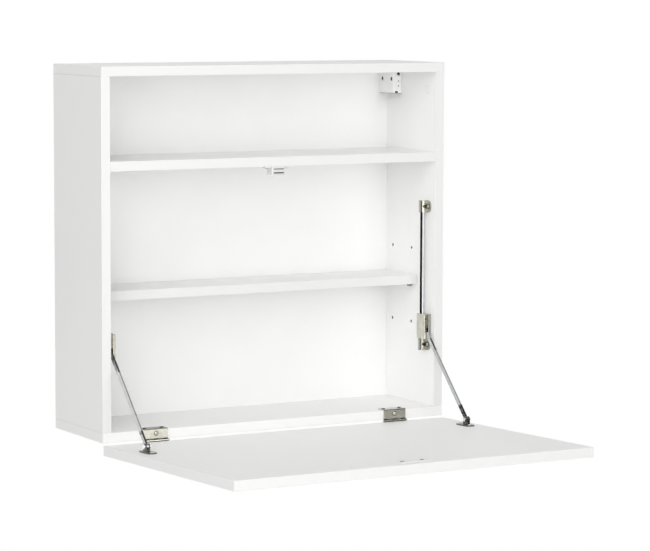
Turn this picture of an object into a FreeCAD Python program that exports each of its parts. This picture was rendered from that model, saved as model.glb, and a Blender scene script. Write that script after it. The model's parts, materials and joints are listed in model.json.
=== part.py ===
"""Fold down wall desk: a shallow wall cabinet whose front flap folds down as a desk top.

Millimetres. X runs to the right, Y towards the wall, Z up. The wall is the plane Y = 0, and the
origin is the centre of the four wall screws. The flap is modelled about its hinge axis, as if
level, and its placement gives it the slight upward slope at which the stays stop it.
"""
import FreeCAD, Part
import math
import os
import Sketcher

Vector = FreeCAD.Vector
Rotation = FreeCAD.Rotation
doc = FreeCAD.newDocument("wall_desk")

# Driving dimensions: alias, value, what it is.
SIZES = [
    ("cabinet_width", 600, "outside width"),
    ("cabinet_height", 566, "outside height"),
    ("cabinet_depth", 173, "wall to front edges"),
    ("board", 15, "board thickness"),
    ("edge_round", 0.6, "rounding of board edges"),
    ("hang_drop", 42, "top of the cabinet above the wall screws' centre"),
    ("back_thickness", 3, "back panel"),
    ("back_recess", 20, "wall to back panel"),
    ("groove_depth", 6, "groove for the back panel"),
    ("groove_play", 0.2, "back panel to groove wall"),
    ("fixed_shelf_height", 409, "underside of the fixed shelf"),
    ("pin_first_row", 145.5, "lowest shelf pin row"),
    ("pin_row_pitch", 60, "between shelf pin rows"),
    ("pin_rear_place", 42, "wall to rear shelf pins"),
    ("pin_pair_pitch", 59, "rear to front shelf pin"),
    ("pin_radius", 2.5, "shelf pin"),
    ("pin_sink", 9, "shelf pin in the side panel"),
    ("pin_reach", 7, "shelf pin under the shelf"),
    ("shelf_side_play", 0.5, "shelf end to side panel"),
    ("fixed_back_gap", 0.2, "fixed shelf to back panel"),
    ("shelf_back_gap", 0.8, "shelf to back panel"),
    ("shelf_setback", 54, "shelf behind the front edges"),
    ("fit_play", 0.05, "radial play of a fastener in its hole"),
    ("dowel_radius", 4, "dowel"),
    ("dowel_sink", 10, "dowel in a board's face"),
    ("dowel_reach", 20, "dowel in a board's end"),
    ("dowel_front_place", 40, "front dowel behind the front edges"),
    ("dowel_rear_place", 75, "wall to rear dowel"),
    ("cam_radius", 6, "cam lock"),
    ("cam_depth", 11.5, "cam lock in its board"),
    ("cam_setback", 28, "board end to cam centre"),
    ("cam_front_place", 24, "cam behind the front edges"),
    ("cam_rear_place", 48, "wall to rear cam of the fixed shelf"),
    ("cam_bolt_radius", 2.5, "cam bolt"),
    ("cam_bolt_sink", 9, "cam bolt in a board's face"),
    ("cap_radius", 6.8, "cover cap of a cam"),
    ("cap_thickness", 0.8, "cover cap"),
    ("long_screw_radius", 2.5, "screw through the bottom panel"),
    ("long_head_radius", 4, "head of a screw through the bottom panel"),
    ("long_screw_length", 48, "screw through the bottom panel"),
    ("long_screw_place", 22, "long screw from the front edges and the back panel"),
    ("open_tilt", 1.7, "slope of the open flap, degrees"),
    ("flap_reveal", 3.6, "top of the fixed shelf above the closed flap"),
    ("flap_thickness", 15, "flap"),
    ("flap_drop", 1.3, "hinge axis above the flap's inner face"),
    ("flap_end_gap", 0.3, "hinge axis to the flap's rear edge"),
    ("hinge_width", 40, "hinge leaves"),
    ("hinge_place", 74, "hinge centre from the side panel's inner face"),
    ("leaf_thickness", 1.2, "hinge leaves"),
    ("knuckle_radius", 2.5, "hinge knuckles"),
    ("knuckle_gap", 0.3, "between knuckles"),
    ("hinge_pin_radius", 1.25, "hinge pin"),
    ("hinge_pin_reach", 2.2, "hinge pin beyond the leaves"),
    ("axis_drop", 1.9, "hinge axis under the cabinet's underside"),
    ("flange_depth", 17, "hinge flange on the bottom panel"),
    ("flange_screw_place", 10, "flange screws behind the front edge"),
    ("flange_screw_pitch", 29, "between the flange screws"),
    ("leaf_screw_drop", 6, "cabinet leaf's front screw under the cabinet's floor"),
    ("leaf_foot_gap", 1, "cabinet leaf above the cabinet's underside"),
    ("flap_leaf_height", 12, "flap leaf on the flap's rear edge"),
    ("flap_leaf_screw_pitch", 22, "between the flap leaf's screws"),
    ("mortise_play", 0.35, "around the flap leaf in its mortise"),
    ("small_screw_radius", 1.6, "small screw shank"),
    ("small_screw_length", 11, "small screw under its head"),
    ("small_head_radius", 3.1, "small screw head"),
    ("small_head_height", 1.1, "small screw head"),
    ("cross_width", 0.8, "cross recess"),
    ("hole_end_play", 0.5, "end of a screw to the end of its hole"),
    ("stay_inset", 6.3, "stay plane from the side panel's inner face"),
    ("rod_radius", 3.5, "stay rod"),
    ("rod_place", 28.5, "stay rod behind the front edges"),
    ("stay_pivot_place", 16, "slider pivot behind the front edges"),
    ("strut_length", 177, "strut between its pivots"),
    ("strut_radius", 3.25, "strut's round part"),
    ("strut_blade_thickness", 3, "strut's flat ends"),
    ("strut_eye_radius", 4.4, "strut's eyes"),
    ("strut_blade_width", 6.5, "strut's flat ends"),
    ("strut_top_blade", 38, "strut's flat top end"),
    ("strut_bottom_blade", 24, "strut's flat bottom end"),
    ("blade_lap", 3, "flat ends into the strut's round part"),
    ("rivet_radius", 2, "rivets of the stays"),
    ("rivet_play", 0.06, "strut eye around a rivet"),
    ("rivet_head_radius", 3.4, "rivet heads"),
    ("rivet_head_height", 1.2, "rivet heads"),
    ("slider_thickness", 12.2, "slider across the stay plane"),
    ("slider_rear_wall", 6.5, "rod centre to the slider's rear face"),
    ("slider_front_reach", 17.5, "rod centre to the slider's front face"),
    ("slider_rise", 27, "slider above its pivot"),
    ("slider_drop", 12.4, "slider under its pivot"),
    ("slider_slot", 4, "slot for the strut in the slider"),
    ("top_pin_gap", 0.2, "strut's top pin to the slot's walls"),
    ("slot_floor_gap", 0.3, "strut eye to the slot's floor"),
    ("slider_bore_play", 0.08, "slider and brake shoe around the rod"),
    ("slider_round", 1.2, "slider edges"),
    ("shoe_width", 6, "brake shoe"),
    ("shoe_length", 14, "brake shoe"),
    ("shoe_play", 0.1, "around the brake shoe in the slider"),
    ("shoe_depth", 2, "brake shoe behind the rod's surface"),
    ("shoe_rise", 13, "brake shoe's centre above the pivot"),
    ("brake_screw_radius", 1.6, "brake screw"),
    ("stop_gap", 0.3, "slider to the bottom bracket at rest"),
    ("bracket_height", 19, "stay rod brackets"),
    ("bracket_boss_radius", 6, "boss around the rod"),
    ("bracket_plate", 2.3, "bracket plate on the side panel"),
    ("bracket_reach", 16.5, "rod centre to the bracket plate's front"),
    ("bracket_round", 8, "front corners of a rod bracket"),
    ("bracket_rear_round", 6, "rear corner of a rod bracket's outer end"),
    ("bracket_screw_reach", 9.8, "rod centre to the bracket's screw"),
    ("rod_seat", 3, "end of the bracket beyond the rod's end"),
    ("top_margin", 19, "closed slider to the top bracket"),
    ("ear_height", 9.5, "flap pivot above the flap's inner face"),
    ("stay_reach", 105.6, "hinge axis to flap pivot, along the flap"),
    ("ear_thickness", 2, "ears of the flap bracket"),
    ("ear_gap", 3.6, "between the ears"),
    ("ear_width", 9, "ears along the flap"),
    ("foot_width", 15, "flap bracket's foot, across"),
    ("foot_length", 36, "flap bracket's foot, along the flap"),
    ("foot_thickness", 2, "flap bracket's foot"),
    ("foot_round", 4.5, "corners of the flap bracket's foot"),
    ("foot_inset", 2.2, "foot's centre inwards of the stay plane"),
    ("foot_screw_place", 12.5, "foot's screws from its centre"),
    ("catch_width", 22, "magnetic catch body"),
    ("catch_height", 13.5, "magnetic catch"),
    ("catch_depth", 18, "magnetic catch"),
    ("catch_ear_width", 41, "catch with its ears"),
    ("catch_ear_height", 2.5, "catch ears"),
    ("catch_ear_depth", 10, "catch ears"),
    ("catch_screw_pitch", 32, "between the catch's screws"),
    ("catch_round", 1, "catch housing edges"),
    ("catch_wall", 1.2, "catch housing walls"),
    ("pole_pitch", 6, "between the pole plates"),
    ("pole_thickness", 1.5, "pole plates"),
    ("pole_width", 17, "pole plates"),
    ("pole_lip", 1.2, "pole plates in front of the housing"),
    ("catch_gap", 0.3, "keeper to pole plates when closed"),
    ("keeper_length", 42, "keeper plate"),
    ("keeper_width", 16, "keeper plate"),
    ("keeper_thickness", 1.2, "keeper plate"),
    ("keeper_round", 2, "corners of the keeper plate"),
    ("keeper_drop", 4, "keeper centre under the catch's centre"),
    ("keeper_screw_pitch", 33, "between the keeper's screws"),
    ("hanger_width", 17, "hanger housing, across"),
    ("hanger_depth", 45, "hanger housing from the back panel"),
    ("hanger_height", 36, "hanger housing"),
    ("hanger_drop", 1, "hanger housing under the top panel"),
    ("hanger_wall", 2, "hanger housing walls"),
    ("hanger_screw_radius", 3, "adjusting screws"),
    ("hanger_screw_rear", 11.5, "rear adjusting hole from the back panel"),
    ("hanger_screw_pitch", 28.5, "between the adjusting holes"),
    ("hanger_screw_gap", 1.4, "adjusting screws under the hook"),
    ("hanger_screw_sunk", 2.5, "adjusting screws in their holes"),
    ("hanger_slot_depth", 1.5, "slot of an adjusting screw"),
    ("hanger_round", 1.5, "hanger housing edges"),
    ("front_hole_radius", 2.8, "hole in the hanger's front"),
    ("front_hole_depth", 6, "hole in the hanger's front"),
    ("front_hole_drop", 5, "front hole under the hanger's top"),
    ("front_hole_inset", 6.7, "front holes from the side panel"),
    ("small_hole_radius", 1, "small holes in the hanger's front"),
    ("small_hole_drop", 16.4, "first small hole under the hanger's top"),
    ("small_hole_pitch", 8, "between the small holes"),
    ("small_hole_depth", 2, "small holes in the hanger's front"),
    ("foot_notch_width", 5.5, "notch in the foot of the hanger's front"),
    ("foot_notch_height", 3.2, "notch in the foot of the hanger's front"),
    ("foot_notch_depth", 3, "notch in the foot of the hanger's front"),
    ("foot_notch_inset", 10.4, "notch from the side panel"),
    ("peg_radius", 5, "pegs of the hanger in the side panel"),
    ("peg_sink", 10, "pegs in the side panel"),
    ("peg_margin", 4, "pegs from the hanger's front and rear faces"),
    ("peg_rise", 3, "pegs above the hanger's underside"),
    ("hook_width", 12, "hanger hook, across"),
    ("hook_thickness", 2.5, "hanger hook"),
    ("hook_tongue", 13, "hook behind the wall plate's lip"),
    ("hook_height", 20, "top of the hook above the wall screws' centre"),
    ("hook_wall_gap", 3, "hook's tongue to the wall"),
    ("hook_play", 0.2, "hanger housing around the hook"),
    ("hook_end_gap", 1, "hook to the housing's front wall"),
    ("ledge_gap", 0.5, "hook's tongue to the wall plate's ledge"),
    ("notch_play", 1, "back panel around the hook"),
    ("plate_width", 45, "wall plate"),
    ("plate_height", 48, "wall plate"),
    ("plate_thickness", 2, "wall plate"),
    ("plate_inset", 2, "wall plate from the side panel"),
    ("plate_lip_out", 8, "wall to the front of the plate's lip"),
    ("plate_lip_width", 18, "lip of the wall plate"),
    ("wall_screw_pitch", 32, "between a wall plate's screws"),
    ("wall_screw_inset", 12, "wall screws from the wall plate's inner end"),
    ("wall_screw_radius", 2.75, "wall screw holes"),
]

# Places worked out from the sizes: name, expression.
PLACES = [
    ("top_z", "Sizes.hang_drop"),
    ("base_z", "Sizes.hang_drop - Sizes.cabinet_height"),
    ("half_width", "Sizes.cabinet_width / 2"),
    ("inner_x", "Places.half_width - Sizes.board"),
    ("mid_board_x", "Places.half_width - Sizes.board / 2"),
    ("front_y", "-Sizes.cabinet_depth"),
    ("back_y", "-(Sizes.back_recess + Sizes.back_thickness)"),
    ("floor_z", "Places.base_z + Sizes.board"),
    ("ceiling_z", "Places.top_z - Sizes.board"),
    ("fixed_z", "Places.base_z + Sizes.fixed_shelf_height"),
    ("pin_row_z", "Places.base_z + Sizes.pin_first_row"),
    ("shelf_z", "Places.pin_row_z + Sizes.pin_row_pitch + Sizes.pin_radius"),
    ("pin_y", "-Sizes.pin_rear_place"),
    ("hinge_y", "Places.front_y - Sizes.knuckle_radius"),
    ("hinge_z", "Places.base_z - Sizes.axis_drop"),
    ("closing_angle", "90 - Sizes.open_tilt"),
    ("flap_top", "-Sizes.flap_drop"),
    ("flap_length",
     "Places.fixed_z + Sizes.board - Sizes.flap_reveal - Places.hinge_z - Sizes.flap_end_gap"),
    ("hinge_x", "Places.inner_x - Sizes.hinge_place"),
    ("knuckle_pitch", "Sizes.hinge_width / 5"),
    ("stay_x", "Places.inner_x - Sizes.stay_inset"),
    ("rod_y", "Places.front_y + Sizes.rod_place"),
    ("pivot_y", "Places.front_y + Sizes.stay_pivot_place"),
    ("ear_z", "Places.flap_top + Sizes.ear_height"),
    ("ear_open_y",
     "Places.hinge_y - Sizes.stay_reach * cos(Sizes.open_tilt) + Places.ear_z * sin(Sizes.open_tilt)"),
    ("ear_open_z",
     "Places.hinge_z + Sizes.stay_reach * sin(Sizes.open_tilt) + Places.ear_z * cos(Sizes.open_tilt)"),
    ("ear_closed_y", "Places.hinge_y + Places.ear_z"),
    ("ear_closed_z", "Places.hinge_z + Sizes.stay_reach"),
    ("strut_run", "Places.pivot_y - Places.ear_open_y"),
    ("strut_lean", "asin(Places.strut_run / Sizes.strut_length)"),
    ("pivot_z", "Places.ear_open_z + sqrt(Sizes.strut_length ^ 2 - Places.strut_run ^ 2)"),
    ("closed_run", "Places.pivot_y - Places.ear_closed_y"),
    ("closed_lean", "asin(Places.closed_run / Sizes.strut_length)"),
    ("closed_pivot_z", "Places.ear_closed_z + sqrt(Sizes.strut_length ^ 2 - Places.closed_run ^ 2)"),
    ("slider_foot_z", "Places.pivot_z - Sizes.slider_drop"),
    ("low_bracket_z", "Places.slider_foot_z - Sizes.stop_gap - Sizes.bracket_height"),
    ("high_bracket_z", "Places.closed_pivot_z + Sizes.slider_rise + Sizes.top_margin"),
    ("slot_floor_y", "Places.pivot_y + Sizes.strut_eye_radius + Sizes.slot_floor_gap"),
    ("keeper_reach", "Places.fixed_z - Sizes.catch_height / 2 - Sizes.keeper_drop - Places.hinge_z"),
    ("pole_front_y", "Places.hinge_y - Sizes.flap_drop + Sizes.keeper_thickness + Sizes.catch_gap"),
    ("catch_front_y", "Places.pole_front_y + Sizes.pole_lip"),
    ("catch_z", "Places.fixed_z - Sizes.catch_height / 2"),
    ("hanger_top_z", "Places.ceiling_z - Sizes.hanger_drop"),
    ("hanger_x", "Places.inner_x - Sizes.hanger_width / 2"),
    ("hook_foot_z", "Sizes.hook_height - Sizes.hook_thickness"),
    ("plate_x", "Places.inner_x - Sizes.plate_inset - Sizes.plate_width"),
]

overrun = 1  # how far a cutting tool runs past the face that it opens, or a lap into its neighbour
crossReach = 0.55  # arm of a cross recess, as a share of its head's radius
crossDepth = 0.6  # cross recess, as a share of its head's height
domeRound = 0.7  # rounding of a screw head, as a share of its height


def writeSizes():
    """Put the driving dimensions in a sheet, and the places worked out from them beside it."""
    sheet = doc.addObject("Spreadsheet::Sheet", "Sizes")
    for row, (alias, value, note) in enumerate(SIZES, start=1):
        sheet.set(f"A{row}", alias)
        sheet.set(f"B{row}", str(value))
        sheet.set(f"C{row}", note)
        sheet.setAlias(f"B{row}", alias)
    doc.recompute()
    places = doc.addObject("App::VarSet", "Places")
    for name, formula in PLACES:
        places.addProperty("App::PropertyFloat", name, "Places", "")
        places.setExpression(name, formula.replace("Places.", ""))
    doc.recompute()
    return sheet, places


sheet, places = writeSizes()
NODES = {}
SIDES = {"left": -1, "right": 1}


def bind(item, **formulas):
    """Bind properties of an object to expressions."""
    for name, formula in formulas.items():
        item.setExpression(name, str(formula))
    return item


def put(item, x="0", y="0", z="0", axis=None, turn=0):
    """Place an object at a bound point, turned about an axis by a fixed or bound angle."""
    if axis:
        item.Placement = FreeCAD.Placement(Vector(), Rotation(Vector(*axis), 1))
        item.setExpression("Placement.Rotation.Angle", str(turn))
    for part, formula in zip("xyz", (x, y, z)):
        item.setExpression(f"Placement.Base.{part}", str(formula))
    return item


def putOnFlap(item):
    """Carry an object from the level flap's own frame to the open flap."""
    return put(item, "0", "Places.hinge_y", "Places.hinge_z", (-1, 0, 0), "Sizes.open_tilt")


def node(name, item):
    """Name an object as a sub-part to be written."""
    item.Label = name
    NODES[name] = item
    return item


def block(name, x, y, z):
    """A box between bound limits, each a pair of expressions."""
    box = doc.addObject("Part::Box", name)
    spans = (x, y, z)
    for size, (low, high) in zip(("Length", "Width", "Height"), spans):
        box.setExpression(size, f"({high}) - ({low})")
    return put(box, *(low for low, high in spans))


def across(centre, width):
    """Limits of a span about its centre."""
    return f"({centre}) - ({width}) / 2", f"({centre}) + ({width}) / 2"


def mirrored(sign, low, high):
    """Limits across X on the right side, or their mirror image on the left."""
    return (low, high) if sign > 0 else (f"-({high})", f"-({low})")


TURNS = {
    "+x": ((0, 1, 0), 90),
    "-x": ((0, 1, 0), -90),
    "+y": ((1, 0, 0), -90),
    "-y": ((1, 0, 0), 90),
    "+z": (None, 0),
    "-z": ((1, 0, 0), 180),
}


def opposite(way):
    return {"+": "-", "-": "+"}[way[0]] + way[1]


def rod(name, radius, length, x, y, z, way="+z"):
    """A cylinder that starts at a bound point and runs along a row axis."""
    cylinder = bind(doc.addObject("Part::Cylinder", name), Radius=radius, Height=length)
    return put(cylinder, x, y, z, *TURNS[way])


def copy(name, source, x, y, z, way="+z"):
    """Another instance of a piece, with its own bound place and direction."""
    link = doc.addObject("App::Link", name)
    link.LinkedObject = source
    return put(link, x, y, z, *TURNS[way])


def group(name, items):
    """Separate solids kept together."""
    compound = doc.addObject("Part::Compound", name)
    compound.Links = items
    return compound


def fuse(name, items):
    joined = doc.addObject("Part::MultiFuse", name)
    joined.Shapes = items
    joined.Refine = True
    return joined


def meet(name, items):
    """What two solids have in common."""
    common = doc.addObject("Part::MultiCommon", name)
    common.Shapes = items
    common.Refine = True
    return common


def cut(name, base, tools):
    """A base with tools taken away, one after the other kind of tool."""
    result = doc.addObject("Part::Cut", name)
    result.Base = base
    result.Tool = tools[0] if len(tools) == 1 else fuse(name + "_tools", tools)
    return result


def newBody(name):
    return doc.addObject("PartDesign::Body", name)


def newSketch(body, role, offset=None):
    """A sketch on one of the body's own planes, moved along its normal by a bound offset."""
    sketch = body.newObject("Sketcher::SketchObject", body.Name + "_sketch")
    plane = next(item for item in body.Origin.OriginFeatures if item.Role == role)
    sketch.AttachmentSupport = [(plane, "")]
    sketch.MapMode = "FlatFace"
    if offset:
        sketch.setExpression("AttachmentOffset.Base.z", offset)
    return sketch


def pin(sketch, kind, edge, point, formula):
    """Hold a sketch point at a bound distance from the sketch's origin."""
    number = sketch.addConstraint(Sketcher.Constraint(kind, -1, 1, edge, point, 1.0))
    sketch.setExpression(f"Constraints[{number}]", formula)


def drawBox(sketch, low, high):
    """A rectangle between two bound corners, each a pair of expressions."""
    corners = [Vector(0, 0), Vector(9, 0), Vector(9, 9), Vector(0, 9)]
    lines = [Part.LineSegment(corners[i], corners[(i + 1) % 4]) for i in range(4)]
    edges = sketch.addGeometry(lines)
    for i in range(4):
        sketch.addConstraint(Sketcher.Constraint("Coincident", edges[i], 2, edges[(i + 1) % 4], 1))
        flat = "Horizontal" if i % 2 == 0 else "Vertical"
        sketch.addConstraint(Sketcher.Constraint(flat, edges[i]))
    for kind, edge, formula in (
        ("DistanceX", 2, high[0]),
        ("DistanceY", 2, high[1]),
        ("DistanceX", 0, low[0]),
        ("DistanceY", 0, low[1]),
    ):
        pin(sketch, kind, edges[edge], 1, formula)


def drawCircle(sketch, centre, radius):
    """A circle about a bound centre."""
    edge = sketch.addGeometry(Part.Circle(Vector(1, 1, 0), Vector(0, 0, 1), 1))
    pin(sketch, "DistanceX", edge, 3, centre[0])
    pin(sketch, "DistanceY", edge, 3, centre[1])
    number = sketch.addConstraint(Sketcher.Constraint("Radius", edge, 1.0))
    sketch.setExpression(f"Constraints[{number}]", radius)


def pad(body, sketch, length, back=False):
    """Grow a sketch into a solid along its normal, or against it."""
    feature = body.newObject("PartDesign::Pad", body.Name + "_pad")
    feature.Profile = sketch
    feature.Reversed = back
    return bind(feature, Length=length)


def pocket(body, sketch, length, back=False):
    """Cut a sketch out of a solid, and make sure that it did cut."""
    doc.recompute()
    before = body.Shape.Volume
    feature = body.newObject("PartDesign::Pocket", body.Name + "_pocket")
    feature.Profile = sketch
    feature.Reversed = back
    bind(feature, Length=length)
    doc.recompute()
    if not body.Shape.Volume < before - 1e-6:
        raise RuntimeError(f"{body.Name}: a pocket cuts nothing")
    return feature


def soften(body, base, radius, chosen=lambda edge: True):
    """Round the chosen straight edges of a feature."""
    doc.recompute()
    names = [
        f"Edge{number}"
        for number, edge in enumerate(base.Shape.Edges, start=1)
        if isinstance(edge.Curve, Part.Line) and chosen(edge)
    ]
    feature = body.newObject("PartDesign::Fillet", body.Name + "_rounding")
    feature.Base = (base, names)
    return bind(feature, Radius=radius)


def runsAlong(axis):
    """A test for edges along a row axis."""
    return lambda edge: abs(edge.tangentAt(edge.FirstParameter).dot(Vector(*axis))) > 0.99


def makeBoard(name, x, y, z):
    """A board with softly rounded edges, between bound limits."""
    body = newBody(name + "_blank")
    sketch = newSketch(body, "XY_Plane", z[0])
    drawBox(sketch, (x[0], y[0]), (x[1], y[1]))
    blank = pad(body, sketch, f"({z[1]}) - ({z[0]})")
    soften(body, blank, "Sizes.edge_round")
    return body


def makeScrew(name, shank, length, head, height):
    """A cross-head screw: its head stands on Z = 0 and its shank runs down."""
    body = newBody(name)
    sketch = newSketch(body, "XY_Plane")
    drawCircle(sketch, ("0", "0"), head)
    top = pad(body, sketch, height)
    doc.recompute()
    rims = [
        f"Edge{number}"
        for number, edge in enumerate(top.Shape.Edges, start=1)
        if isinstance(edge.Curve, Part.Circle) and edge.CenterOfMass.z > 0.01
    ]
    dome = body.newObject("PartDesign::Fillet", name + "_dome")
    dome.Base = (top, rims)
    bind(dome, Radius=f"({height}) * {domeRound}")
    stem = newSketch(body, "XY_Plane")
    drawCircle(stem, ("0", "0"), shank)
    pad(body, stem, length, back=True)
    arm = across("0", f"2 * ({head}) * {crossReach}")
    width = across("0", "Sizes.cross_width")
    for x, y in ((arm, width), (width, arm)):
        cross = newSketch(body, "XY_Plane", height)
        drawBox(cross, (x[0], y[0]), (x[1], y[1]))
        pocket(body, cross, f"({height}) * {crossDepth}")
    return body


smallScrew = makeScrew(
    "small_screw", "Sizes.small_screw_radius", "Sizes.small_screw_length",
    "Sizes.small_head_radius", "Sizes.small_head_height",
)


def screwAt(name, x, y, z, way):
    """A small screw whose head faces the given way, and the hole that it needs in its board."""
    screw = copy(name, smallScrew, x, y, z, way)
    hole = rod(
        name + "_hole", "Sizes.small_screw_radius + Sizes.fit_play",
        "Sizes.small_screw_length + Sizes.hole_end_play", x, y, z, opposite(way),
    )
    return screw, hole


# --- Fasteners of the carcass, with the holes that they need in each board.
holes = {name: [] for name in ("left_side", "right_side", "top", "bottom", "fixed_shelf", "flap", "back")}


def makeDowels():
    """Wooden dowels at the top, the bottom and the fixed shelf, at both sides."""
    dowels = []
    places = {
        "front": "Places.front_y + Sizes.dowel_front_place",
        "rear": "-Sizes.dowel_rear_place",
    }
    long = "Sizes.dowel_sink + Sizes.dowel_reach"
    loose = "Sizes.dowel_radius + Sizes.fit_play"
    for side, sign in SIDES.items():
        x = f"{sign} * Places.mid_board_x"
        for place, y in places.items():
            for board, z in (
                ("top", "Places.ceiling_z - Sizes.dowel_reach"),
                ("bottom", "Places.floor_z - Sizes.dowel_sink"),
            ):
                name = f"dowel_{side}_{place}_{board}"
                dowels.append(rod(name, "Sizes.dowel_radius", long, x, y, z))
                hole = rod(name + "_hole", loose, long, x, y, z)
                holes[board].append(hole)
                holes[side + "_side"].append(hole)
        name = f"dowel_{side}_shelf"
        spot = (
            f"{sign} * (Places.inner_x - Sizes.dowel_reach)",
            "(Places.front_y + Places.back_y) / 2",
            "Places.fixed_z + Sizes.board / 2",
        )
        way = "+x" if sign > 0 else "-x"
        dowels.append(rod(name, "Sizes.dowel_radius", long, *spot, way))
        hole = rod(name + "_hole", loose, long, *spot, way)
        holes["fixed_shelf"].append(hole)
        holes[side + "_side"].append(hole)
    node("dowels", group("dowel_group", dowels))


def makeCams():
    """Cam locks, their bolts and their cover caps: at the top front, and under the fixed shelf."""
    cams, bolts, caps = [], [], []
    loose = "Sizes.cam_radius + Sizes.fit_play"
    reach = "Sizes.cam_bolt_sink + Sizes.cam_setback"
    for side, sign in SIDES.items():
        into = "+x" if sign > 0 else "-x"
        spots = {
            "top": (
                (f"{sign} * Places.inner_x", "Places.front_y + Sizes.cam_front_place",
                 "Places.ceiling_z - Sizes.cam_setback"),
                into,
                (f"{sign} * Places.mid_board_x", "Places.front_y + Sizes.cam_front_place",
                 "Places.ceiling_z - Sizes.cam_setback"),
                "+z", side + "_side", "top",
            )
        }
        for place, y in (
            ("front", "Places.front_y + Sizes.cam_front_place"),
            ("rear", "-Sizes.cam_rear_place"),
        ):
            x = f"{sign} * (Places.inner_x - Sizes.cam_setback)"
            spots[place] = (
                (x, y, "Places.fixed_z"), "+z",
                (x, y, "Places.fixed_z + Sizes.board / 2"), into,
                "fixed_shelf", side + "_side",
            )
        for place, (mouth, inward, start, along, board, other) in spots.items():
            name = f"cam_{side}_{place}"
            tool = rod(name + "_bolt_hole", "Sizes.cam_bolt_radius + Sizes.fit_play", reach, *start, along)
            disc = rod(name + "_disc", "Sizes.cam_radius", "Sizes.cam_depth", *mouth, inward)
            cams.append(cut(name, disc, [tool]))
            bolts.append(rod(name + "_bolt", "Sizes.cam_bolt_radius", reach, *start, along))
            hole = rod(name + "_hole", loose, "Sizes.cam_depth", *mouth, inward)
            holes[board] += [hole, tool]
            holes[other].append(tool)
            caps.append(rod(
                name + "_cap", "Sizes.cap_radius", "Sizes.cap_thickness", *mouth, opposite(inward),
            ))
    node("cam_locks", group("cam_group", cams))
    node("cam_bolts", group("cam_bolt_group", bolts))
    node("cam_caps", group("cam_cap_group", caps))


def makeLongScrews():
    """Long screws up through the bottom panel into the side panels."""
    screws = []
    longScrew = makeScrew(
        "long_screw", "Sizes.long_screw_radius", "Sizes.long_screw_length",
        "Sizes.long_head_radius", "Sizes.small_head_height",
    )
    for side, sign in SIDES.items():
        for place, y in (
            ("front", "Places.front_y + Sizes.long_screw_place"),
            ("rear", "Places.back_y - Sizes.long_screw_place"),
        ):
            name = f"long_screw_{side}_{place}"
            spot = (f"{sign} * Places.mid_board_x", y, "Places.base_z")
            screws.append(copy(name, longScrew, *spot, "-z"))
            hole = rod(
                name + "_hole", "Sizes.long_screw_radius + Sizes.fit_play",
                "Sizes.long_screw_length + Sizes.hole_end_play", *spot,
            )
            holes["bottom"].append(hole)
            holes[side + "_side"].append(hole)
    node("bottom_screws", group("bottom_screw_group", screws))


def makeShelfPins():
    """Rows of pin holes in the side panels, and the four pins that carry the adjustable shelf."""
    pins = []
    for side, sign in SIDES.items():
        out = "-x" if sign > 0 else "+x"
        for row in range(3):
            for column in range(2):
                name = f"pin_hole_{side}_{row}_{column}"
                spot = (
                    f"{sign} * (Places.inner_x + Sizes.pin_sink)",
                    f"Places.pin_y - {column} * Sizes.pin_pair_pitch",
                    f"Places.pin_row_z + {row} * Sizes.pin_row_pitch",
                )
                loose = "Sizes.pin_radius + Sizes.fit_play"
                holes[side + "_side"].append(rod(name, loose, f"Sizes.pin_sink + {overrun}", *spot, out))
                if row == 1:
                    long = "Sizes.pin_sink + Sizes.pin_reach"
                    pins.append(rod(f"pin_{side}_{column}", "Sizes.pin_radius", long, *spot, out))
    node("shelf_pins", group("shelf_pin_group", pins))


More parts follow.
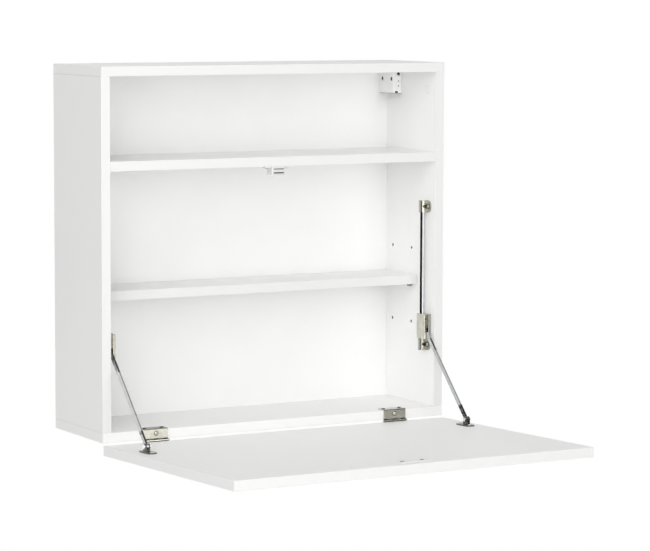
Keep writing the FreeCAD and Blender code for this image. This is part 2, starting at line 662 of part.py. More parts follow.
# --- Hinges.
def makeHinge(side, sign):
    """Cabinet leaf, flap leaf and pin of one butt hinge, and its screws."""
    centre = f"{sign} * Places.hinge_x"
    wide = across(centre, "Sizes.hinge_width")
    low = wide[0]

    def knuckles(name, numbers, y, z, toward):
        """Knuckle tubes at the given fifths of the hinge, each with a tongue to its leaf."""
        pieces = []
        for number in numbers:
            start = f"{low} + {number} * Places.knuckle_pitch + Sizes.knuckle_gap / 2"
            length = "Places.knuckle_pitch - Sizes.knuckle_gap"
            tube = f"{name}_knuckle_{number}"
            pieces.append(rod(tube, "Sizes.knuckle_radius", length, start, y, z, "+x"))
            span = (start, f"{start} + {length}")
            pieces.append(block(f"{name}_tongue_{number}", span, *toward))
        return pieces

    name = f"hinge_cabinet_leaf_{side}"
    face = "Places.front_y - Sizes.leaf_thickness"
    front = (face, "Places.front_y")
    legZ = ("Places.base_z + Sizes.leaf_foot_gap", "Places.floor_z + Sizes.leaf_thickness")
    leg = block(name + "_leg", wide, front, legZ)
    flange = block(
        name + "_flange", wide, (face, "Places.front_y + Sizes.flange_depth"),
        ("Places.floor_z", "Places.floor_z + Sizes.leaf_thickness"),
    )
    tubes = knuckles(
        name, (0, 2, 4), "Places.hinge_y", "Places.hinge_z",
        (front, ("Places.hinge_z", f"{legZ[0]} + {overrun}")),
    )
    bore = (
        "Sizes.hinge_pin_radius + Sizes.fit_play", f"Sizes.hinge_width + {2 * overrun}",
        f"{low} - {overrun}",
    )
    eye = rod(name + "_bore", *bore, "Places.hinge_y", "Places.hinge_z", "+x")
    screws, tools = [], [eye]
    spots = [(centre, face, "Places.floor_z - Sizes.leaf_screw_drop", "-y")]
    for end in (-1, 1):
        spots.append((
            f"{centre} + {end} * Sizes.flange_screw_pitch / 2", "Places.front_y + Sizes.flange_screw_place",
            "Places.floor_z + Sizes.leaf_thickness", "+z",
        ))
    for number, spot in enumerate(spots):
        screw, hole = screwAt(f"{name}_screw_{number}", *spot)
        screws.append(screw)
        tools.append(hole)
        holes["bottom"].append(hole)
    node(name, cut(name + "_solid", fuse(name + "_blank", [leg, flange] + tubes), tools))

    name = f"hinge_flap_leaf_{side}"
    thick = ("-Sizes.knuckle_radius", "Sizes.leaf_thickness - Sizes.knuckle_radius")
    foot = "-(Sizes.knuckle_radius + Sizes.knuckle_gap + Sizes.flap_leaf_height)"
    plate = block(name + "_plate", wide, thick, (foot, "-(Sizes.knuckle_radius + Sizes.knuckle_gap)"))
    tubes = knuckles(name, (1, 3), "0", "0", (thick, (f"{foot} + {overrun}", "0")))
    eye = rod(name + "_bore", *bore, "0", "0", "+x")
    flapScrews, tools = [], [eye]
    for end in (-1, 1):
        spot = (
            f"{centre} + {end} * Sizes.flap_leaf_screw_pitch / 2",
            "Sizes.leaf_thickness - Sizes.knuckle_radius",
            f"({foot}) / 2 - Sizes.knuckle_radius / 2", "+y",
        )
        screw, hole = screwAt(f"{name}_screw_{end + 1}", *spot)
        flapScrews.append(screw)
        tools.append(hole)
        holes["flap"].append(hole)
    node(name, putOnFlap(cut(name + "_solid", fuse(name + "_blank", [plate] + tubes), tools)))

    reach = "Sizes.hinge_width + 2 * Sizes.hinge_pin_reach"
    mortise = block(
        f"mortise_{side}", across(centre, f"{reach} + 2 * Sizes.mortise_play"),
        ("-Sizes.knuckle_radius", f"{overrun}"), (f"{foot} - Sizes.mortise_play", f"{overrun}"),
    )
    holes["flap"].append(mortise)
    hingePin = rod(
        f"hinge_pin_{side}", "Sizes.hinge_pin_radius", reach,
        f"{low} - Sizes.hinge_pin_reach", "Places.hinge_y", "Places.hinge_z", "+x",
    )
    return hingePin, screws, flapScrews


def makeHinges():
    pins, screws, flapScrews = [], [], []
    for side, sign in SIDES.items():
        hingePin, own, onFlap = makeHinge(side, sign)
        pins.append(hingePin)
        screws += own
        flapScrews += onFlap
    node("hinge_pins", group("hinge_pin_group", pins))
    node("hinge_cabinet_screws", group("hinge_cabinet_screw_group", screws))
    node("hinge_flap_screws", putOnFlap(group("hinge_flap_screw_group", flapScrews)))


# --- Flap stays.
def makeBracket(name, sign, foot, roundAtTop):
    """A rod bracket: a plate on the side panel and a boss around the rod's end."""
    height = "Sizes.bracket_height"
    x = f"{sign} * Places.stay_x"
    boss = rod(name + "_boss", "Sizes.bracket_boss_radius", height, x, "Places.rod_y", foot)
    web = block(
        name + "_web", mirrored(sign, "Places.stay_x", "Places.inner_x"),
        across("Places.rod_y", "2 * Sizes.bracket_boss_radius"), (foot, f"{foot} + {height}"),
    )
    span = ("Places.rod_y - Sizes.bracket_reach", "Places.rod_y + Sizes.bracket_boss_radius")
    plate = block(
        name + "_plate", mirrored(sign, "Places.inner_x - Sizes.bracket_plate", "Places.inner_x"),
        span, (foot, f"{foot} + {height}"),
    )
    body = newBody(name + "_outline")
    sketch = newSketch(body, "YZ_Plane", f"{sign} * Places.inner_x")
    drawBox(sketch, (span[0], foot), (span[1], f"{foot} + {height}"))
    outline = pad(body, sketch, "Sizes.stay_inset + Sizes.bracket_boss_radius", back=sign > 0)
    doc.recompute()
    centre = outline.Shape.BoundBox.Center

    def frontCorner(edge):
        return runsAlong((1, 0, 0))(edge) and edge.CenterOfMass.y < centre.y

    def rearCorner(edge):
        outer = (edge.CenterOfMass.z > centre.z) == roundAtTop
        return runsAlong((1, 0, 0))(edge) and edge.CenterOfMass.y > centre.y and outer

    rounded = soften(body, outline, "Sizes.bracket_round", frontCorner)
    soften(body, rounded, "Sizes.bracket_rear_round", rearCorner)
    seat = f"{foot} + Sizes.rod_seat" if not roundAtTop else foot
    bore = rod(
        name + "_bore", "Sizes.rod_radius + Sizes.fit_play", f"{height} - Sizes.rod_seat",
        x, "Places.rod_y", seat,
    )
    spot = (
        f"{sign} * (Places.inner_x - Sizes.bracket_plate)", "Places.rod_y - Sizes.bracket_screw_reach",
        f"{foot} + {height} / 2", "-x" if sign > 0 else "+x",
    )
    screw, hole = screwAt(name + "_screw", *spot)
    holes[("right" if sign > 0 else "left") + "_side"].append(hole)
    blank = meet(name + "_blank", [fuse(name + "_full", [boss, web, plate]), body])
    node(name, cut(name + "_solid", blank, [bore, hole]))
    return screw


def makeSlider(side, sign):
    """The housing that slides on the rod, with its brake shoe, brake screw and rivet heads."""
    x = f"{sign} * Places.stay_x"
    foot = "Places.slider_foot_z"
    height = "Sizes.slider_rise + Sizes.slider_drop"
    front = "Places.rod_y - Sizes.slider_front_reach"
    rear = "Places.rod_y + Sizes.slider_rear_wall"
    name = f"slider_housing_{side}"
    body = newBody(name + "_block")
    sketch = newSketch(body, "XY_Plane", foot)
    wide = across(x, "Sizes.slider_thickness")
    drawBox(sketch, (wide[0], front), (wide[1], rear))
    blank = pad(body, sketch, height)
    soften(body, blank, "Sizes.slider_round", runsAlong((0, 0, 1)))
    slot = newSketch(body, "XY_Plane", f"{foot} + {height}")
    gap = across(x, "Sizes.slider_slot")
    drawBox(slot, (gap[0], f"{front} - {overrun}"), (gap[1], "Places.slot_floor_y"))
    pocket(body, slot, height)
    eye = newSketch(body, "XY_Plane", f"{foot} + {height}")
    drawCircle(eye, (x, "Places.rod_y"), "Sizes.rod_radius + Sizes.slider_bore_play")
    pocket(body, eye, height)

    shoeZ = across("Places.pivot_z + Sizes.shoe_rise", "Sizes.shoe_length")
    shoeY = ("Places.rod_y - Sizes.rod_radius - Sizes.shoe_depth", "Places.rod_y")
    shoeX = across(x, "Sizes.shoe_width")
    rivetX = across(x, "Sizes.slider_thickness")
    rivetHole = rod(
        name + "_rivet_hole", "Sizes.rivet_radius + Sizes.fit_play", "Sizes.slider_thickness",
        rivetX[0], "Places.pivot_y", "Places.pivot_z", "+x",
    )
    screwLong = "Places.rod_y - Sizes.rod_radius - Sizes.shoe_depth - Places.slot_floor_y"
    screwSpot = (x, "Places.slot_floor_y", "Places.pivot_z + Sizes.shoe_rise", "+y")
    screwHole = rod(
        name + "_screw_hole", "Sizes.brake_screw_radius + Sizes.fit_play", screwLong, *screwSpot,
    )
    shoeRoom = block(
        name + "_shoe_room", across(x, "Sizes.shoe_width + 2 * Sizes.shoe_play"),
        shoeY,
        across("Places.pivot_z + Sizes.shoe_rise", "Sizes.shoe_length + 2 * Sizes.shoe_play"),
    )
    node(name, cut(name + "_solid", body, [rivetHole, screwHole, shoeRoom]))

    shoe = block(f"slider_brake_shoe_{side}_blank", shoeX, shoeY, shoeZ)
    clear = rod(
        f"slider_brake_shoe_{side}_hollow", "Sizes.rod_radius + Sizes.slider_bore_play",
        f"Sizes.shoe_length + {2 * overrun}", x, "Places.rod_y", f"{shoeZ[0]} - {overrun}",
    )
    node(f"slider_brake_shoe_{side}", cut(f"slider_brake_shoe_{side}_solid", shoe, [clear]))
    node(f"slider_brake_screw_{side}", rod(
        f"slider_brake_screw_{side}", "Sizes.brake_screw_radius", screwLong, *screwSpot,
    ))

    rivets = []
    for end in (-1, 1):
        cheek = "(Sizes.slider_thickness - Sizes.slider_slot) / 2"
        start = f"{x} + {end} * Sizes.slider_slot / 2"
        rivets.append(rod(
            f"slider_rivet_{side}_{end + 1}", "Sizes.rivet_radius", cheek,
            start, "Places.pivot_y", "Places.pivot_z", "+x" if end > 0 else "-x",
        ))
    node(f"slider_rivet_{side}", group(f"slider_rivet_group_{side}", rivets))


def makeStrut(side, sign):
    """A strut with flat ends, modelled upright from its flap pivot and leant to the slider's."""
    name = f"strut_{side}"
    flat = across("0", "Sizes.strut_blade_thickness")
    wide = across("0", "Sizes.strut_blade_width")
    pieces = [
        rod(name + "_rod", "Sizes.strut_radius",
            "Sizes.strut_length - Sizes.strut_top_blade - Sizes.strut_bottom_blade",
            "0", "0", "Sizes.strut_bottom_blade"),
        block(name + "_bottom_blade", flat, wide, ("0", "Sizes.strut_bottom_blade + Sizes.blade_lap")),
        block(name + "_top_blade", flat, wide,
              ("Sizes.strut_length - Sizes.strut_top_blade - Sizes.blade_lap", "Sizes.strut_length")),
    ]
    eyes = []
    for place, z in (("bottom", "0"), ("top", "Sizes.strut_length")):
        pieces.append(rod(f"{name}_{place}_eye", "Sizes.strut_eye_radius", "Sizes.strut_blade_thickness",
                          flat[0], "0", z, "+x"))
        eyes.append(rod(f"{name}_{place}_hole", "Sizes.rivet_radius + Sizes.rivet_play",
                        "Sizes.strut_blade_thickness", flat[0], "0", z, "+x"))
    strut = cut(name + "_solid", fuse(name + "_blank", pieces), eyes)
    spot = (f"{sign} * Places.stay_x", "Places.ear_open_y", "Places.ear_open_z")
    node(name, put(strut, *spot, (-1, 0, 0), "Places.strut_lean"))
    long = "Sizes.slider_slot - 2 * Sizes.top_pin_gap"
    topPin = rod(f"strut_top_pin_{side}_solid", "Sizes.rivet_radius", long,
                 across(spot[0], long)[0], "Places.pivot_y", "Places.pivot_z", "+x")
    node(f"strut_top_pin_{side}", topPin)


def makeFlapBracket(side, sign):
    """The bracket on the flap: a foot, two ears and the rivet through them, with its screws."""
    name = f"stay_flap_bracket_{side}"
    x = f"{sign} * Places.stay_x"
    footX = across(f"{sign} * (Places.stay_x - Sizes.foot_inset)", "Sizes.foot_width")
    top = "Places.flap_top"
    y = "-Sizes.stay_reach"
    body = newBody(name + "_foot")
    sketch = newSketch(body, "XY_Plane", top)
    span = across(y, "Sizes.foot_length")
    drawBox(sketch, (footX[0], span[0]), (footX[1], span[1]))
    foot = pad(body, sketch, "Sizes.foot_thickness")
    soften(body, foot, "Sizes.foot_round", runsAlong((0, 0, 1)))
    pieces = [body]
    grip = "Sizes.ear_gap + 2 * Sizes.ear_thickness"
    for end in (-1, 1):
        inner = f"{x} + {end} * Sizes.ear_gap / 2"
        outer = f"{x} + {end} * (Sizes.ear_gap / 2 + Sizes.ear_thickness)"
        limits = (inner, outer) if end > 0 else (outer, inner)
        ear = (limits, across(y, "Sizes.ear_width"), (top, "Places.ear_z"))
        pieces.append(block(f"{name}_ear_{end + 1}", *ear))
        pieces.append(rod(f"{name}_ear_top_{end + 1}", "Sizes.ear_width / 2", "Sizes.ear_thickness",
                          limits[0], y, "Places.ear_z", "+x"))
    tools = [rod(name + "_rivet_hole", "Sizes.rivet_radius + Sizes.fit_play",
                 f"{grip} + {2 * overrun}", f"{x} - ({grip}) / 2 - {overrun}", y, "Places.ear_z", "+x")]
    screws = []
    for end in (-1, 1):
        spot = (
            f"{sign} * (Places.stay_x - Sizes.foot_inset)", f"{y} + {end} * Sizes.foot_screw_place",
            f"{top} + Sizes.foot_thickness", "+z",
        )
        screw, hole = screwAt(f"{name}_screw_{end + 1}", *spot)
        screws.append(screw)
        tools.append(hole)
        holes["flap"].append(hole)
    node(name, putOnFlap(cut(name + "_solid", fuse(name + "_blank", pieces), tools)))
    shaft = rod(f"flap_rivet_shaft_{side}", "Sizes.rivet_radius", grip,
                f"{x} - ({grip}) / 2", y, "Places.ear_z", "+x")
    heads = [
        rod(f"flap_rivet_head_{side}_0", "Sizes.rivet_head_radius", "Sizes.rivet_head_height",
            f"{x} - ({grip}) / 2", y, "Places.ear_z", "-x"),
        rod(f"flap_rivet_head_{side}_1", "Sizes.rivet_head_radius", "Sizes.rivet_head_height",
            f"{x} + ({grip}) / 2", y, "Places.ear_z", "+x"),
    ]
    return screws, fuse(f"flap_rivet_{side}", [shaft] + heads)


def makeStays():
    flapScrews, rivets, bracketScrews = [], [], []
    for side, sign in SIDES.items():
        bracketScrews.append(makeBracket(f"stay_bottom_bracket_{side}", sign, "Places.low_bracket_z", False))
        bracketScrews.append(makeBracket(f"stay_top_bracket_{side}", sign, "Places.high_bracket_z", True))
        node(f"stay_rod_{side}", rod(
            f"stay_rod_{side}_solid", "Sizes.rod_radius",
            "Places.high_bracket_z - Places.low_bracket_z + Sizes.bracket_height - 2 * Sizes.rod_seat",
            f"{sign} * Places.stay_x", "Places.rod_y", "Places.low_bracket_z + Sizes.rod_seat",
        ))
        makeSlider(side, sign)
        makeStrut(side, sign)
        screws, rivet = makeFlapBracket(side, sign)
        flapScrews += screws
        rivets.append(rivet)
    node("stay_bracket_screws", group("stay_bracket_screw_group", bracketScrews))
    node("stay_flap_screws", putOnFlap(group("stay_flap_screw_group", flapScrews)))
    node("stay_flap_rivets", putOnFlap(group("stay_flap_rivet_group", rivets)))


# --- Magnetic catch and keeper.
def makeCatch():
    """Magnetic catch under the fixed shelf, and the keeper plate on the flap."""
    top = "Places.fixed_z"
    low = "Places.fixed_z - Sizes.catch_height"
    rear = "Places.catch_front_y + Sizes.catch_depth"
    body = newBody("catch_housing_block")
    sketch = newSketch(body, "XY_Plane", low)
    wide = across("0", "Sizes.catch_width")
    drawBox(sketch, (wide[0], "Places.catch_front_y"), (wide[1], rear))
    blank = pad(body, sketch, "Sizes.catch_height")
    soften(body, blank, "Sizes.catch_round", runsAlong((0, 0, 1)))
    earY = "(Places.catch_front_y + Places.front_y) / 2 + Sizes.catch_depth / 2"
    ears = block(
        "catch_ears", across("0", "Sizes.catch_ear_width"), across(earY, "Sizes.catch_ear_depth"),
        (f"{top} - Sizes.catch_ear_height", top),
    )
    tools = [block(
        "catch_room", across("0", "Sizes.pole_width"),
        ("Places.catch_front_y + Sizes.catch_wall", f"{rear} + {overrun}"),
        across("Places.catch_z", "Sizes.pole_pitch + Sizes.pole_thickness"),
    )]
    for end in (-1, 1):
        tools.append(block(
            f"catch_mouth_{end + 1}", across("0", "Sizes.pole_width"),
            (f"Places.catch_front_y - {overrun}", f"Places.catch_front_y + Sizes.catch_wall + {overrun}"),
            across(f"Places.catch_z + {end} * Sizes.pole_pitch / 2", "Sizes.pole_thickness"),
        ))
    screws = []
    for end in (-1, 1):
        spot = (f"{end} * Sizes.catch_screw_pitch / 2", earY, f"{top} - Sizes.catch_ear_height", "-z")
        screw, hole = screwAt(f"catch_screw_{end + 1}", *spot)
        screws.append(screw)
        tools.append(hole)
        holes["fixed_shelf"].append(hole)
    node("catch_housing", cut("catch_housing_solid", fuse("catch_housing_blank", [body, ears]), tools))
    node("catch_screws", group("catch_screw_group", screws))

    plates = []
    for end in (-1, 1):
        middle = f"Places.catch_z + {end} * Sizes.pole_pitch / 2"
        plates.append(block(
            f"pole_plate_{end + 1}", across("0", "Sizes.pole_width"),
            ("Places.pole_front_y", f"{rear} - Sizes.catch_wall"), across(middle, "Sizes.pole_thickness"),
        ))
    node("catch_pole_plates", group("catch_pole_plate_group", plates))
    node("catch_magnet", block(
        "catch_magnet_solid", across("0", "Sizes.pole_width"),
        ("Places.catch_front_y + Sizes.catch_wall", f"{rear} - Sizes.catch_wall"),
        across("Places.catch_z", "Sizes.pole_pitch - Sizes.pole_thickness"),
    ))

    body = newBody("keeper_plate_blank")
    sketch = newSketch(body, "XY_Plane", "Places.flap_top")
    long = across("0", "Sizes.keeper_length")
    span = across("-Places.keeper_reach", "Sizes.keeper_width")
    drawBox(sketch, (long[0], span[0]), (long[1], span[1]))
    plate = pad(body, sketch, "Sizes.keeper_thickness")
    soften(body, plate, "Sizes.keeper_round", runsAlong((0, 0, 1)))
    screws, tools = [], []
    for end in (-1, 1):
        spot = (
            f"{end} * Sizes.keeper_screw_pitch / 2", "-Places.keeper_reach",
            "Places.flap_top + Sizes.keeper_thickness", "+z",
        )
        screw, hole = screwAt(f"keeper_screw_{end + 1}", *spot)
        screws.append(screw)
        tools.append(hole)
        holes["flap"].append(hole)
    node("keeper_plate", putOnFlap(cut("keeper_plate_solid", body, tools)))
    node("keeper_screws", putOnFlap(group("keeper_screw_group", screws)))


# --- Hangers and wall plates.
def makeHanger(side, sign):
    """A hanger in an upper rear corner: housing, hook, adjusting screws, and its wall plate."""
    name = f"hanger_housing_{side}"
    foot = "Places.hanger_top_z - Sizes.hanger_height"
    wide = mirrored(sign, "Places.inner_x - Sizes.hanger_width", "Places.inner_x")
    deep = ("Places.back_y - Sizes.hanger_depth", "Places.back_y")
    body = newBody(name + "_block")
    sketch = newSketch(body, "XY_Plane", foot)
    drawBox(sketch, (wide[0], deep[0]), (wide[1], deep[1]))
    blank = pad(body, sketch, "Sizes.hanger_height")
    soften(body, blank, "Sizes.hanger_round", lambda edge: runsAlong((0, 0, 1))(edge) or isLow(edge, blank))
    pieces, tools = [body], []
    into = "+x" if sign > 0 else "-x"
    for place, y in (
        ("front", f"{deep[0]} + Sizes.peg_radius + Sizes.peg_margin"),
        ("rear", f"{deep[1]} - Sizes.peg_radius - Sizes.peg_margin"),
    ):
        spot = (f"{sign} * Places.inner_x", y, f"{foot} + Sizes.peg_radius + Sizes.peg_rise")
        pieces.append(rod(f"{name}_peg_{place}", "Sizes.peg_radius", "Sizes.peg_sink", *spot, into))
        holes[side + "_side"].append(rod(
            f"{name}_peg_hole_{place}", "Sizes.peg_radius + Sizes.fit_play", "Sizes.peg_sink", *spot, into,
        ))
    hookX = across(f"{sign} * Places.hanger_x", "Sizes.hook_width")
    hookZ = ("Places.hook_foot_z", "Sizes.hook_height")
    wallY = f"{deep[0]} + Sizes.hanger_wall"
    room = block(
        name + "_room", across(f"{sign} * Places.hanger_x", "Sizes.hook_width + 2 * Sizes.hook_play"),
        (wallY, f"{deep[1]} + {overrun}"),
        ("Places.hook_foot_z - Sizes.hook_play", "Sizes.hook_height + Sizes.hook_play"),
    )
    tools.append(room)
    frontX = f"{sign} * (Places.inner_x - Sizes.front_hole_inset)"
    marks = [("Sizes.front_hole_radius", "Sizes.front_hole_depth", "Sizes.front_hole_drop")]
    for number in range(2):
        drop = f"Sizes.small_hole_drop + {number} * Sizes.small_hole_pitch"
        marks.append(("Sizes.small_hole_radius", "Sizes.small_hole_depth", drop))
    for number, (radius, depth, drop) in enumerate(marks):
        spot = (frontX, deep[0], f"Places.hanger_top_z - ({drop})")
        tools.append(rod(f"{name}_front_hole_{number}", radius, depth, *spot, "+y"))
    tools.append(block(
        f"{name}_foot_notch",
        across(f"{sign} * (Places.inner_x - Sizes.foot_notch_inset)", "Sizes.foot_notch_width"),
        (f"{deep[0]} - {overrun}", f"{deep[0]} + Sizes.foot_notch_depth"),
        (f"{foot} - {overrun}", f"{foot} + Sizes.foot_notch_height"),
    ))
    screws = []
    face = f"{sign} * (Places.inner_x - Sizes.hanger_width)"
    for number in range(2):
        y = f"Places.back_y - Sizes.hanger_screw_rear - {number} * Sizes.hanger_screw_pitch"
        z = "Places.hook_foot_z - Sizes.hanger_screw_radius - Sizes.hanger_screw_gap"
        spot = (face, y, z)
        long = "Sizes.hanger_width - Sizes.hanger_wall"
        tools.append(rod(f"{name}_screw_hole_{number}", "Sizes.hanger_screw_radius + Sizes.fit_play",
                         long, *spot, into))
        shaft = rod(f"hanger_screw_{side}_{number}_shaft", "Sizes.hanger_screw_radius",
                    f"{long} - Sizes.hanger_screw_sunk", f"{face} + {sign} * Sizes.hanger_screw_sunk",
                    y, z, into)
        mouth = "Places.inner_x - Sizes.hanger_width + Sizes.hanger_screw_sunk"
        slot = block(
            f"hanger_screw_{side}_{number}_slot",
            mirrored(sign, f"{mouth} - {overrun}", f"{mouth} + Sizes.hanger_slot_depth"),
            across(y, "Sizes.cross_width"), across(z, f"2 * (Sizes.hanger_screw_radius + {overrun})"),
        )
        screws.append(cut(f"hanger_screw_{side}_{number}", shaft, [slot]))
    node(name, cut(name + "_solid", fuse(name + "_blank", pieces), tools))

    arm = block(f"hook_arm_{side}", hookX,
                (f"{wallY} + Sizes.hook_end_gap", "-Sizes.hook_wall_gap"), hookZ)
    tongue = block(f"hook_tongue_{side}", hookX,
                   ("-Sizes.hook_wall_gap - Sizes.hook_thickness", "-Sizes.hook_wall_gap"),
                   ("Sizes.hook_height - Sizes.hook_tongue", "Sizes.hook_height"))
    node(f"hanger_hook_{side}", fuse(f"hanger_hook_{side}_solid", [arm, tongue]))
    holes["back"].append(block(
        f"back_notch_{side}",
        across(f"{sign} * Places.hanger_x", "Sizes.hook_width + 2 * Sizes.notch_play"),
        (f"Places.back_y - {overrun}", f"-Sizes.back_recess + {overrun}"),
        ("Places.hook_foot_z - Sizes.notch_play", "Sizes.hook_height + Sizes.notch_play"),
    ))

    plateX = mirrored(sign, "Places.plate_x", "Places.plate_x + Sizes.plate_width")
    body = newBody(f"wall_plate_{side}_blank")
    sketch = newSketch(body, "XZ_Plane")
    drawBox(sketch, (plateX[0], "-Sizes.plate_height / 2"), (plateX[1], "Sizes.plate_height / 2"))
    for end in (-1, 1):
        middle = (
            f"{sign} * (Places.plate_x + Sizes.wall_screw_inset)", f"{end} * Sizes.wall_screw_pitch / 2",
        )
        drawCircle(sketch, middle, "Sizes.wall_screw_radius")
    pad(body, sketch, "Sizes.plate_thickness")
    plateEnd = "Places.plate_x + Sizes.plate_width"
    lipX = mirrored(sign, f"{plateEnd} - Sizes.plate_lip_width", plateEnd)
    shelfZ = "Sizes.hook_height - Sizes.hook_tongue - Sizes.plate_thickness - Sizes.ledge_gap"
    ledge = block(f"wall_plate_ledge_{side}", lipX, ("-Sizes.plate_lip_out", "0"),
                  (f"{shelfZ} - Sizes.plate_thickness", shelfZ))
    lip = block(f"wall_plate_lip_{side}", lipX,
                ("-Sizes.plate_lip_out", "Sizes.plate_thickness - Sizes.plate_lip_out"),
                (f"{shelfZ} - Sizes.plate_thickness", "Places.hook_foot_z"))
    node(f"wall_plate_{side}", fuse(f"wall_plate_{side}_solid", [body, ledge, lip]))
    return screws


def isLow(edge, blank):
    """Whether an edge lies in a blank's underside."""
    return abs(edge.CenterOfMass.z - blank.Shape.BoundBox.ZMin) < 0.01


def makeHangers():
    screws = []
    for side, sign in SIDES.items():
        screws += makeHanger(side, sign)
    node("hanger_screws", group("hanger_screw_group", screws))


# --- Boards, cut with every hole collected above.
def makeBoards():
    """Carcass boards and the flap."""
    innerX = ("-Places.inner_x", "Places.inner_x")
    fullX = ("-Places.half_width", "Places.half_width")
    deep = ("Places.front_y", "0")
    sunk = "Sizes.groove_depth + Sizes.groove_play"
    wideX = (f"-Places.inner_x - ({sunk})", f"Places.inner_x + {sunk}")
    grooveY = (
        "Places.back_y - Sizes.groove_play",
        "-Sizes.back_recess + Sizes.groove_play",
    )
    sideZ = (f"Places.floor_z - {overrun}", f"Places.ceiling_z + {overrun}")
    grooves = {
        "left_side": ((wideX[0], f"-Places.inner_x + {overrun}"), sideZ),
        "right_side": ((f"Places.inner_x - {overrun}", wideX[1]), sideZ),
        "top": (wideX, (f"Places.ceiling_z - {overrun}", f"Places.ceiling_z + {sunk}")),
        "bottom": (wideX, (f"Places.floor_z - ({sunk})", f"Places.floor_z + {overrun}")),
    }
    blanks = {
        "left_side": makeBoard("left_side_panel", ("-Places.half_width", "-Places.inner_x"), deep,
                               ("Places.floor_z", "Places.ceiling_z")),
        "right_side": makeBoard("right_side_panel", ("Places.inner_x", "Places.half_width"), deep,
                                ("Places.floor_z", "Places.ceiling_z")),
        "top": makeBoard("top_panel", fullX, deep, ("Places.ceiling_z", "Places.top_z")),
        "bottom": makeBoard("bottom_panel", fullX, deep, ("Places.base_z", "Places.floor_z")),
        "fixed_shelf": makeBoard("fixed_shelf", innerX,
                                 ("Places.front_y", "Places.back_y - Sizes.fixed_back_gap"),
                                 ("Places.fixed_z", "Places.fixed_z + Sizes.board")),
    }
    names = {
        "left_side": "left_side_panel", "right_side": "right_side_panel", "top": "top_panel",
        "bottom": "bottom_panel", "fixed_shelf": "fixed_shelf",
    }
    for key, blank in blanks.items():
        tools = list(holes[key])
        if key in grooves:
            x, z = grooves[key]
            tools.append(block(key + "_groove", x, grooveY, z))
        node(names[key], cut(names[key] + "_solid", blank, tools))

    back = block(
        "back_panel_blank",
        ("-Places.inner_x - Sizes.groove_depth", "Places.inner_x + Sizes.groove_depth"),
        ("Places.back_y", "-Sizes.back_recess"),
        ("Places.floor_z - Sizes.groove_depth", "Places.ceiling_z + Sizes.groove_depth"),
    )
    node("back_panel", cut("back_panel_solid", back, holes["back"]))
    node("adjustable_shelf", makeBoard(
        "adjustable_shelf",
        ("-Places.inner_x + Sizes.shelf_side_play", "Places.inner_x - Sizes.shelf_side_play"),
        ("Places.front_y + Sizes.shelf_setback", "Places.back_y - Sizes.shelf_back_gap"),
        ("Places.shelf_z", "Places.shelf_z + Sizes.board"),
    ))
    flap = makeBoard(
        "flap_board", fullX, ("-Sizes.flap_end_gap - Places.flap_length", "-Sizes.flap_end_gap"),
        ("Places.flap_top - Sizes.flap_thickness", "Places.flap_top"),
    )
    node("flap_board", putOnFlap(cut("flap_board_solid", flap, holes["flap"])))


def checkModel():
    """Stop if any object failed, or a sub-part has no sound solid."""
    for item in doc.Objects:
        if "Invalid" in item.State or "Error" in item.State:
            raise RuntimeError(f"{item.Name} did not compute: {item.State}")
    for name, item in NODES.items():
        shape = item.Shape
        if shape.isNull() or not shape.isValid() or not shape.Solids:
            raise RuntimeError(f"{name} has no sound shape")


def writeParts():
    os.makedirs("parts", exist_ok=True)
    for name, item in NODES.items():
        item.Shape.exportStep(f"parts/{name}.step")


def tellMotion():
    """Print the joint axes, ranges and ratios that the linkage gives."""
    at = places
    angle = math.radians(at.closing_angle)
    lean = math.radians(at.strut_lean - at.closed_lean)
    travel = at.closed_pivot_z - at.pivot_z
    print(f"hinge y {at.hinge_y:.4f} z {at.hinge_z:.4f} closes {at.closing_angle:.4f} degrees")
    print(f"flap pivot x {at.stay_x:.4f} y {at.ear_open_y:.4f} z {at.ear_open_z:.4f}")
    print(f"slider pivot y {at.pivot_y:.4f} z {at.pivot_z:.4f} travel {travel:.4f}")
    print(f"strut turns {math.degrees(angle + lean):.4f} degrees, ratio {-(angle + lean) / angle:.6f}")
    print(f"slider ratio {travel / 1000 / angle:.6f} metres per radian")


makeDowels()
makeCams()
makeLongScrews()
makeShelfPins()
makeHinges()
makeStays()
makeCatch()
makeHangers()
makeBoards()
doc.recompute()
checkModel()
writeParts()
tellMotion()
print(f"{len(NODES)} sub-parts written")
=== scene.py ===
import json
import math

import bmesh
import bpy
from mathutils import Matrix, Vector


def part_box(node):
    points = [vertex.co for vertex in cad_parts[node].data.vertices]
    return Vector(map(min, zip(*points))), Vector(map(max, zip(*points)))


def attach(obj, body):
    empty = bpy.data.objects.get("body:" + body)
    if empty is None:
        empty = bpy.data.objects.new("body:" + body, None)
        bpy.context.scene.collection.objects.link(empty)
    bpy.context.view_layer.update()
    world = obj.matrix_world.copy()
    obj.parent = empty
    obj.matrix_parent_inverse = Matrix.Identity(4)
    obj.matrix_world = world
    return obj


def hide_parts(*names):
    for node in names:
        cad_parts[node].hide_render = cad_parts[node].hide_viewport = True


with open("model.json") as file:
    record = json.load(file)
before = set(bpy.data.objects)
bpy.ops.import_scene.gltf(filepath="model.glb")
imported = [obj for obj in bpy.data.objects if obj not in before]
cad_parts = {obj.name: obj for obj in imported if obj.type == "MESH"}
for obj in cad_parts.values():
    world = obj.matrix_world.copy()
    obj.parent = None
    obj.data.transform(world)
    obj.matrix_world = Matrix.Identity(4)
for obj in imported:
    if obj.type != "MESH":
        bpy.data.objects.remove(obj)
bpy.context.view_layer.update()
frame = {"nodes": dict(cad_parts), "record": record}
slots = {part["node"]: part["material_slot"] for part in frame["record"]["subparts"]}
print("frame loaded:", len(frame["nodes"]), "nodes")


